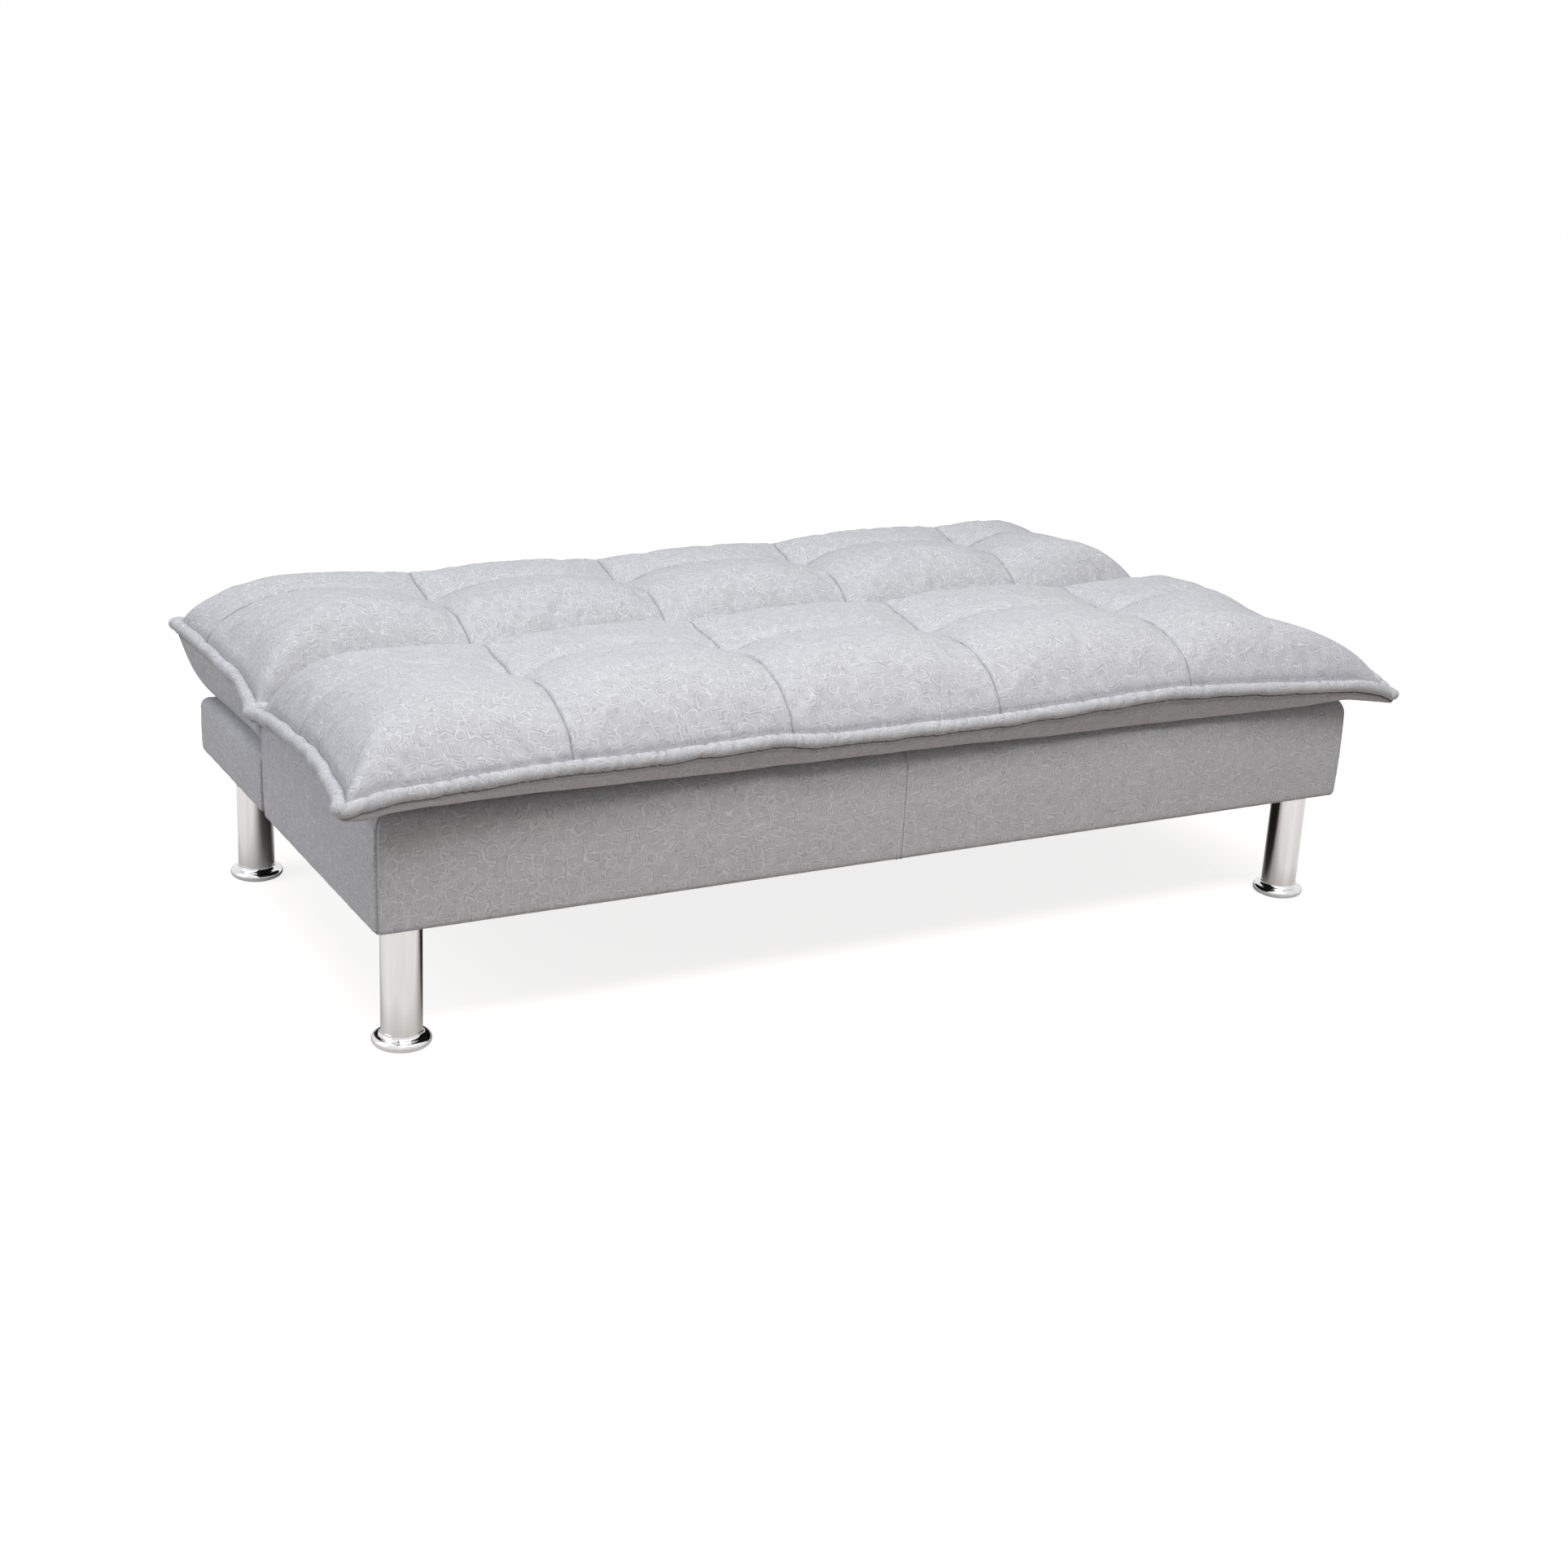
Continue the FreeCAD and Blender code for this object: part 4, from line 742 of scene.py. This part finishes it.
    # the boxed side, in to its lower edge and on to the flat underside
    weltFoot = layers[-1]
    target = between([contactPlace(c, *col[3:]) for col in ring])
    reach = low - target
    reach[:, 2] = 0
    far = np.linalg.norm(reach, axis=1)
    outward = reach / np.maximum(far, 1e-6)[:, None]
    share, rise, tight = c["sideLower"]
    drop = low[:, 2] - target[:, 2]
    corner = target + outward * (far * share)[:, None] + up * (drop * rise)[:, None]
    if "frontLower" in c:
        onFront = smoothRing(between([1.0 if col[3] == 0 and col[4] >= 0 else 0.0 for col in ring]),
                             e["frontRounds"])
        corner[:, 2] += onFront * (curveThrough(*c["frontLower"], start[:, 0]) - corner[:, 2])
    for j in range(1, e["sideSteps"] + 1):
        t = j / e["sideSteps"]
        row = ((1 - t) ** 3 * weltFoot + 3 * (1 - t) ** 2 * t * (corner + tight * (weltFoot - corner))
               + 3 * (1 - t) * t ** 2 * (corner + tight * (target - corner)) + t ** 3 * target)
        wrinkle = e["wrinkleFine"] * fine + e["wrinklePinch"] * pinch * (1 - t) + e["wrinkleDepth"] * \
            unevenWave(travelled + e["wrinkleShift"] * t, e["wrinkleWave"], c["phase"] + 5)
        strength = mound(t - e["wrinkleAt"], e["wrinkleReach"]) * np.clip(far / e["wrinkleRun"], 0, 1)
        row = row - outward * (wrinkle * strength)[:, None]
        row[:, 2] = np.maximum(row[:, 2], c["contact"][4] - roundedEdge(c, row[:, 1]))
        layers.append(row)
        layerShade.append(np.zeros(count))

    weaveEdge = between([weaveTop[col[0]] for col in ring])
    weave, below, above = [weaveTop], np.zeros(count), start
    for layer in layers:
        below = below + np.linalg.norm(layer - above, axis=1)
        above = layer
        weave.append(weaveEdge + normal[:, :2] * below[:, None])

    faces = gridFaces(rows, columns)
    firstRoll = len(flat)
    for i, col in enumerate(ring):  # the sewn edge has half as many points as the roll
        a, b = col[0], ring[(i + 1) % len(ring)][0]
        f0, f1, f2 = firstRoll + 2 * i, firstRoll + 2 * i + 1, firstRoll + (2 * i + 2) % count
        faces.append((a, f0, f1))
        if a != b:
            faces.append((a, f1, b))
        faces.append((b, f1, f2))
    faces += ringFaces(firstRoll, len(layers), count)
    lastRing = firstRoll + (len(layers) - 1) * count
    faces.append(tuple(reversed(range(lastRing, lastRing + count))))
    piece = makeMesh(c["name"], np.concatenate([flat] + layers), faces, np.concatenate([shade] + layerShade),
                     finishes["grey_linen"], np.concatenate(weave))
    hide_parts(c["node"])
    return piece


cushions = [makeCushion(seatCushion), makeCushion(backCushion)]
for piece in cushions:
    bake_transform(piece)
print("cushions made")


# a padded box cover, sewn down each corner edge, with its top, and a hem turned in under the frame
seatBox = {
    "name": "seatBoxCover", "body": "base", "node": "seat_cover",
    "size": (-873.5, 873.5, -441.0, 100.0, 191.0, 367.0),  # x, y and z, each from and to
    "topRadius": 28.0, "lowRadius": 9.0, "cornerRadius": 15.0, "hem": 30.0, "crownOut": 2.2,
    "middleSeam": -25.0, "phase": 1.3,
    "slitSide": 2, "slitAcross": (820.5, 840.5), "slitFrom": 300.0, "slitIn": 51.0, "slitDepth": 11.0,
    "stitchApart": 5.6, "stitchLength": 3.9, "stitchPitch": 4.6,
    "threadThick": 1.5,  # drawn a little thick so that it shows
    "stitchOut": 0.55, "stitchEnds": (3, 2),  # clear of the rounds below and above
}
backBox = {
    "name": "backBoxCover", "body": "back", "node": "back_cover",
    "size": (-873.5, 873.5, 106.0, 472.0, 194.0, 289.0),
    "topRadius": 16.0, "lowRadius": 8.0, "cornerRadius": 15.0, "hem": 30.0, "crownOut": 1.2,
    "middleSeam": None, "phase": 4.1,
    "slitSide": 0, "slitAcross": (827.0, 837.0), "slitFrom": 240.0, "slitIn": 64.0, "slitDepth": 11.0,
}
boxSewing = {
    "seamWidth": 1.5, "seamDepth": 1.5, "seamShade": 0.5,
    "shoulderAway": 3.6, "shoulderWidth": 1.9, "shoulderRise": 0.9,  # the cloth stands up beside a seam
    "rippleDepth": 0.45, "rippleWave": (61, 37, 97), "rippleShift": 20,
    "puckerDepth": 0.5, "puckerWave": (13, 19), "puckerAway": 8, "puckerWidth": 7, "puckerShift": 9,
    "clothApart": 3000,
    "fineSteps": [0, 1.2, 2.4, 3.8, 5.5, 8, 12, 17], "coarseStep": 9.0, "rowStep": 8,
    "cornerSteps": 16, "lowSteps": 5, "topSteps": 9,
}


# columns round a box, on the straight sides and round the corners; a column is its x and y, the way out in
# x and y, the distance from the nearest seam and its side
def boxOutline(b):
    w = boxSewing
    found = []
    corners = roundCentres(*b["size"][:4], b["cornerRadius"])
    arc = b["cornerRadius"] * quarter
    for k in range(4):
        a0 = math.pi + k * quarter
        sx, sy = corners[k]
        ex, ey = corners[(k + 1) % 4]
        for j in range(w["cornerSteps"] + 1):
            turned = j / w["cornerSteps"]
            a = a0 + turned * quarter
            found.append((sx, sy, math.cos(a), math.sin(a), (turned - 0.5) * arc, k))
        n = (math.cos(a0 + quarter), math.sin(a0 + quarter))
        length = math.hypot(ex - sx, ey - sy)
        sewn = k == 0 and b["middleSeam"] is not None
        stops = [0.0, b["middleSeam"] - sx, length] if sewn else [0.0, length]
        for m in range(len(stops) - 1):
            span = stops[m + 1] - stops[m]
            steps = stepsBetween(span, w["fineSteps"], w["coarseStep"]) * span + stops[m]
            if k == b["slitSide"]:  # edges of the slits that the hinge arms pass through
                lips = [sign * v + step for sign in (-1, 1) for v in b["slitAcross"] for step in (-1, 1)]
                for lip in lips:
                    at = (lip - sx) * (1 if ex > sx else -1)
                    steps[np.argmin(np.abs(steps - at))] = at
            for s in steps[1:-1] if m == len(stops) - 2 else steps[1:]:
                px, py = sx + (ex - sx) * s / length, sy + (ey - sy) * s / length
                edgeAway = min(s, length - s) + arc / 2
                near = edgeAway if s < length / 2 else -edgeAway
                if sewn and abs(px - b["middleSeam"]) < edgeAway:
                    near = px - b["middleSeam"]
                found.append((px, py, n[0], n[1], near, k))
    return found


def makeBoxCover(b):
    w = boxSewing
    x0, x1, y0, y1, z0, z1 = b["size"]
    columns = boxOutline(b)
    count = len(columns)
    base = np.array([(c[0], c[1], 0.0) for c in columns])
    normal = np.array([(c[2], c[3], 0.0) for c in columns])
    away = np.array([c[4] for c in columns])
    r = b["cornerRadius"]
    wall = base + normal * r
    travelled = walkedAlong(wall)
    rt, rl = b["topRadius"], b["lowRadius"]

    # a row is its inset from the wall, its height and the slope of its normal, from the hem up to the top
    rows = [(b["hem"], z0, -90), (rl + 10, z0, -90)]
    for j in range(w["lowSteps"] + 1):
        a = math.radians(-90 + 90 * j / w["lowSteps"])
        rows.append((rl - rl * math.cos(a), z0 + rl + rl * math.sin(a), math.degrees(a)))
    levels = np.linspace(z0 + rl, z1 - rt, int((z1 - z0 - rl - rt) / w["rowStep"]) + 2)[1:-1]
    rows += [(0.0, z, 0) for z in levels]
    for j in range(w["topSteps"] + 1):
        a = math.radians(90 * j / w["topSteps"])
        rows.append((rt - rt * math.cos(a), z1 - rt + rt * math.sin(a), math.degrees(a)))
    rows += [(inset, z1, 90) for inset in (rt + 8, b["slitIn"] - 1, b["slitIn"] + 1, b["slitIn"] + 30)]

    low, high = b["slitAcross"]
    slitColumn = (np.abs(base[:, 0]) > low) & (np.abs(base[:, 0]) < high) & \
        (np.array([c[5] for c in columns]) == b["slitSide"]) & (np.abs(normal[:, 1]) > 0.99)
    seamCut = mound(away, w["seamWidth"])
    shoulder = mound(np.abs(away) - w["shoulderAway"], w["shoulderWidth"])
    layers, shade = [], []
    for inset, z, slope in rows:
        a = math.radians(slope)
        out = math.cos(a)
        flat = wall - normal * inset
        if inset > r:  # past the corner's round the cloth is drawn in square
            flat = base.copy()
            flat[:, :2] = np.clip(base[:, :2], (x0 + inset, y0 + inset), (x1 - inset, y1 - inset))
        h = (z - z0) / (z1 - z0)
        bulge = b["crownOut"] * math.sin(math.pi * min(max(h, 0), 1)) * out
        ripple = w["rippleDepth"] * unevenWave(travelled + w["rippleShift"] * h, w["rippleWave"], b["phase"])
        pucker = w["puckerDepth"] * mound(np.abs(away) - w["puckerAway"], w["puckerWidth"]) * \
            unevenWave(z + w["puckerShift"] * np.sign(away), w["puckerWave"], b["phase"])
        push = bulge + ripple * out + shoulder * w["shoulderRise"] - seamCut * w["seamDepth"] + pucker * out
        if slope <= -89:
            push = push * 0
        # painted shade: the slits are pressed in and coloured fully dark, as shade falls in them
        cut = np.zeros(count)
        if z > b["slitFrom"] and inset < b["slitIn"]:
            cut[slitColumn] = 1.0
        push = push - cut * b["slitDepth"] / max(out, math.sin(a), 0.6)
        point = flat + normal * (push * out)[:, None] + up * (push * math.sin(a))[:, None]
        point[:, 2] += z
        layers.append(point)
        # painted shade down the sewn seams, and in the slits
        shade.append(np.maximum(seamCut * w["seamShade"], cut))

    weave, height, below = [], np.zeros(count), layers[0]
    for layer in layers:
        height = height + np.linalg.norm(layer - below, axis=1)
        below = layer
        weave.append(np.column_stack([travelled + b["phase"] * w["clothApart"], height]))
    faces = [(a, d, c, b) for a, b, c, d in ringFaces(0, len(layers), count)]
    faces.append(tuple((len(layers) - 1) * count + i for i in range(count)))
    piece = makeMesh(b["name"], np.concatenate(layers), faces, np.concatenate(shade), finishes["grey_linen"],
                     np.concatenate(weave))
    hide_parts(b["node"])
    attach(piece, b["body"])


makeBoxCover(seatBox)
makeBoxCover(backBox)
print("box covers made")


# two rows of stitches stand beside the seam in the middle of the front
def makeStitches(b):
    y0, z0, z1 = b["size"][2], b["size"][4], b["size"][5]
    bpy.ops.object.select_all(action="DESELECT")
    bpy.ops.mesh.primitive_uv_sphere_add(segments=8, ring_count=6, radius=0.5)
    first = bpy.context.active_object
    shape = np.empty(len(first.data.vertices) * 3)
    first.data.vertices.foreach_get("co", shape)
    shape = shape.reshape(-1, 3) * (b["threadThick"], b["threadThick"], b["stitchLength"])
    faces = [tuple(p.vertices) for p in first.data.polygons]
    bpy.data.objects.remove(first)
    points, allFaces = [], []
    below, above = b["stitchEnds"]
    h = np.arange(z0 + b["lowRadius"] + below, z1 - b["topRadius"] - above, b["stitchPitch"])
    for side in (-1, 1):
        for z in h:
            out = b["crownOut"] * math.sin(math.pi * (z - z0) / (z1 - z0)) + b["stitchOut"]
            place = (b["middleSeam"] + side * b["stitchApart"] / 2, y0 - out, z)
            allFaces += [tuple(v + len(points) * len(shape) for v in face) for face in faces]
            points.append(shape + place)
    piece = makeMesh("topStitches", np.concatenate(points), allFaces, None, sewingThread)
    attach(piece, b["body"])


makeStitches(seatBox)


# black dust cloth stapled under each frame, held stretched, with a slight sag between the rails
dustCloth = {
    "sag": 5.0, "ripple": 0.5, "rippleWaves": ((97, 61), (83,)),
    "below": 0.2,  # under the top of the sheet that it stands for
    "step": 24.0, "thick": 0.0006,  # thickness in metres
}


def makeDustCloth(name, nodeName, body):
    low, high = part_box(nodeName)
    x0, y0 = [v * 1000 for v in low[:2]]
    x1, y1, z1 = [v * 1000 for v in high]
    u = np.linspace(x0, x1, int((x1 - x0) / dustCloth["step"]))
    v = np.linspace(y0, y1, int((y1 - y0) / dustCloth["step"]))
    x, y = np.meshgrid(u, v)
    across = np.sin(np.pi * (x - x0) / (x1 - x0)) ** 0.5 * np.sin(np.pi * (y - y0) / (y1 - y0)) ** 0.5
    slanting, lengthwise = dustCloth["rippleWaves"]
    z = z1 - dustCloth["below"] - dustCloth["sag"] * across + dustCloth["ripple"] * across * \
        unevenWave(x + 0.4 * y, slanting, 1.9) * unevenWave(y, lengthwise, 0.6)
    faces = [(a, d, c, b) for a, b, c, d in gridFaces(*x.shape)]
    piece = makeMesh(name, np.stack([x, y, z], axis=2).reshape(-1, 3), faces, None, finishes["dust_cloth"])
    bpy.context.view_layer.objects.active = piece
    solid = piece.modifiers.new("thickness", "SOLIDIFY")
    solid.thickness = dustCloth["thick"]
    bpy.ops.object.select_all(action="DESELECT")
    piece.select_set(True)
    bpy.ops.object.modifier_apply(modifier=solid.name)
    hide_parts(nodeName)
    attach(piece, "base" if body == "seat" else "back")


makeDustCloth("seatDustCloth", "seat_dust_cloth", "seat")
makeDustCloth("backDustCloth", "back_dust_cloth", "back")
print("stitches and dust cloths made")


studio = {
    # place, the spot it is aimed at, its two sides in metres, its power and its colour
    "softboxes": {
        "topSoftbox": ((0.0, 0.2, 3.2), (0, 0, 0.3), (4.6, 3.6), 51.0, "#f6f9ff"),
        "frontSoftbox": ((-0.3, -2.25, 3.55), (0, -0.2, 0.3), (3.2, 1.2), 104.0, "#fffefa"),
        "leftSoftbox": ((-3.4, 0.4, 1.8), (0, 0, 0.3), (2.4, 2.0), 32.0, "#f6f9ff"),
    },
    "worldStrength": 0.16, "worldColour": "#fbfbfb",
    "floorSize": 30, "floorPaint": ("#b5b0a9", "#bab5ae"), "mottleScale": 3.0,
    "floorLift": 0.84, "floorFarLift": 0.15, "floorMirror": 0.52,  # what eye and metal add to the paint
    "liftFrom": 1.5, "liftTo": 4.5,  # metres from the middle of the floor
    "shadowUnder": (("X", 0.72, 1.0), ("Y", 0.34, 0.56)),  # painted shadow for the metal: dark to the first, white from the second
}


def addSoftbox(name, place, target, size, power, hexValue):
    light = bpy.data.lights.new(name, "AREA")
    light.shape = "RECTANGLE"
    light.size, light.size_y = size
    light.energy = power
    light.color = linearColour(hexValue)[:3]
    lamp = bpy.data.objects.new(name, light)
    bpy.context.scene.collection.objects.link(lamp)
    lamp.location = place
    lamp.rotation_euler = (Vector(target) - lamp.location).to_track_quat("-Z", "Y").to_euler()


# painted studio floor: matt off-white with a faint mottle, which the eye and the metal see as white
def makeFloor(look):
    bpy.ops.mesh.primitive_plane_add(size=look["floorSize"], location=(0, 0, 0))
    floor = bpy.context.active_object
    floor.name = "studioFloor"
    material = bpy.data.materials.new("paintedFloor")
    material.use_nodes = True
    tree = material.node_tree
    tree.nodes.clear()
    place = addNode(tree, "TexCoord").outputs["Object"]
    mottle = addNode(tree, "TexNoise", {"Scale": look["mottleScale"], "Detail": 3.0}, {"Vector": place})
    paint = addNode(tree, "Mix", {"data_type": "RGBA", 6: linearColour(look["floorPaint"][0]),
                                            7: linearColour(look["floorPaint"][1])}, {0: mottle})
    matt = addNode(tree, "BsdfDiffuse", None, {"Color": paint.outputs[2]})
    lightPath = addNode(tree, "LightPath")
    farOut = addNode(tree, "VectorMath", {"operation": "LENGTH"}, {0: place})
    rising = addNode(tree, "MapRange",
                     {"From Min": look["liftFrom"], "From Max": look["liftTo"], "To Min": look["floorLift"],
                      "To Max": look["floorLift"] + look["floorFarLift"]}, {"Value": farOut.outputs["Value"]})
    toEye = addNode(tree, "Math", {"operation": "MULTIPLY"},
                    {0: lightPath.outputs["Is Camera Ray"], 1: rising})
    # the metal sees the floor's white glow all round, but the glow is left out under the object: a painted
    # shadow in what the metal reflects
    parts = addNode(tree, "SeparateXYZ", None, {0: place})
    outside = []
    for axis, low, high in look["shadowUnder"]:
        away = addNode(tree, "Math", {"operation": "ABSOLUTE"}, {0: parts.outputs[axis]})
        outside.append(addNode(tree, "MapRange", {"From Min": low, "From Max": high}, {"Value": away}))
    clear = addNode(tree, "Math", {"operation": "MAXIMUM"}, {0: outside[0], 1: outside[1]})
    mirrored = addNode(tree, "Math", {"operation": "MULTIPLY", 1: look["floorMirror"]}, {0: clear})
    lift = addNode(tree, "Math", {"operation": "MULTIPLY_ADD"},
                   {0: lightPath.outputs["Is Glossy Ray"], 1: mirrored, 2: toEye})
    glow = addNode(tree, "Emission", {"Color": (1, 1, 1, 1)}, {"Strength": lift})
    both = addNode(tree, "AddShader", None, {0: matt, 1: glow})
    addNode(tree, "OutputMaterial", None, {"Surface": both})
    floor.data.materials.append(material)


# white to the eye and in the metal, and a plain dim fill for everything else
def makeWorld(look):
    world = bpy.data.worlds.new("studioWorld")
    bpy.context.scene.world = world
    world.use_nodes = True
    tree = world.node_tree
    tree.nodes.clear()
    lightPath = addNode(tree, "LightPath")
    seen = addNode(tree, "Math", {"operation": "MAXIMUM"},
                   {0: lightPath.outputs["Is Camera Ray"], 1: lightPath.outputs["Is Glossy Ray"]})
    dim = addNode(tree, "Background", {"Color": linearColour(look["worldColour"]),
                                                 "Strength": look["worldStrength"]})
    white = addNode(tree, "Background", {"Color": (1, 1, 1, 1), "Strength": 1.0})
    mixed = addNode(tree, "MixShader", None, {0: seen, 1: dim, 2: white})
    addNode(tree, "OutputWorld", None, {"Surface": mixed})


for name, settings in studio["softboxes"].items():
    addSoftbox(name, *settings)
makeFloor(studio)
makeWorld(studio)
print("studio made")


view = {"yaw": 0.520751550, "pitch": 0.314478733, "roll": 0.0516709945,  # radians, from straight along y
        "place": (-1.7736, -3.1129, 1.3468), "lens": 50.0, "sensor": 36.0}


def makeCamera(look):
    camera = bpy.data.cameras.new("viewCamera")
    camera.lens, camera.sensor_width = look["lens"], look["sensor"]
    cameraObject = bpy.data.objects.new("viewCamera", camera)
    bpy.context.scene.collection.objects.link(cameraObject)
    yaw, pitch, roll = look["yaw"], look["pitch"], look["roll"]
    ahead = Vector((math.sin(yaw) * math.cos(pitch), math.cos(yaw) * math.cos(pitch), -math.sin(pitch)))
    level = Vector((math.cos(yaw), -math.sin(yaw), 0))
    upward = level.cross(ahead)
    rightward = level * math.cos(roll) + upward * math.sin(roll)
    upward = upward * math.cos(roll) - level * math.sin(roll)
    turn = Matrix((rightward, upward, -ahead)).transposed().to_4x4()
    cameraObject.matrix_world = Matrix.Translation(look["place"]) @ turn
    bpy.context.scene.camera = cameraObject


makeCamera(view)
bpy.context.scene.view_settings.view_transform = "Standard"

print("scene ready")
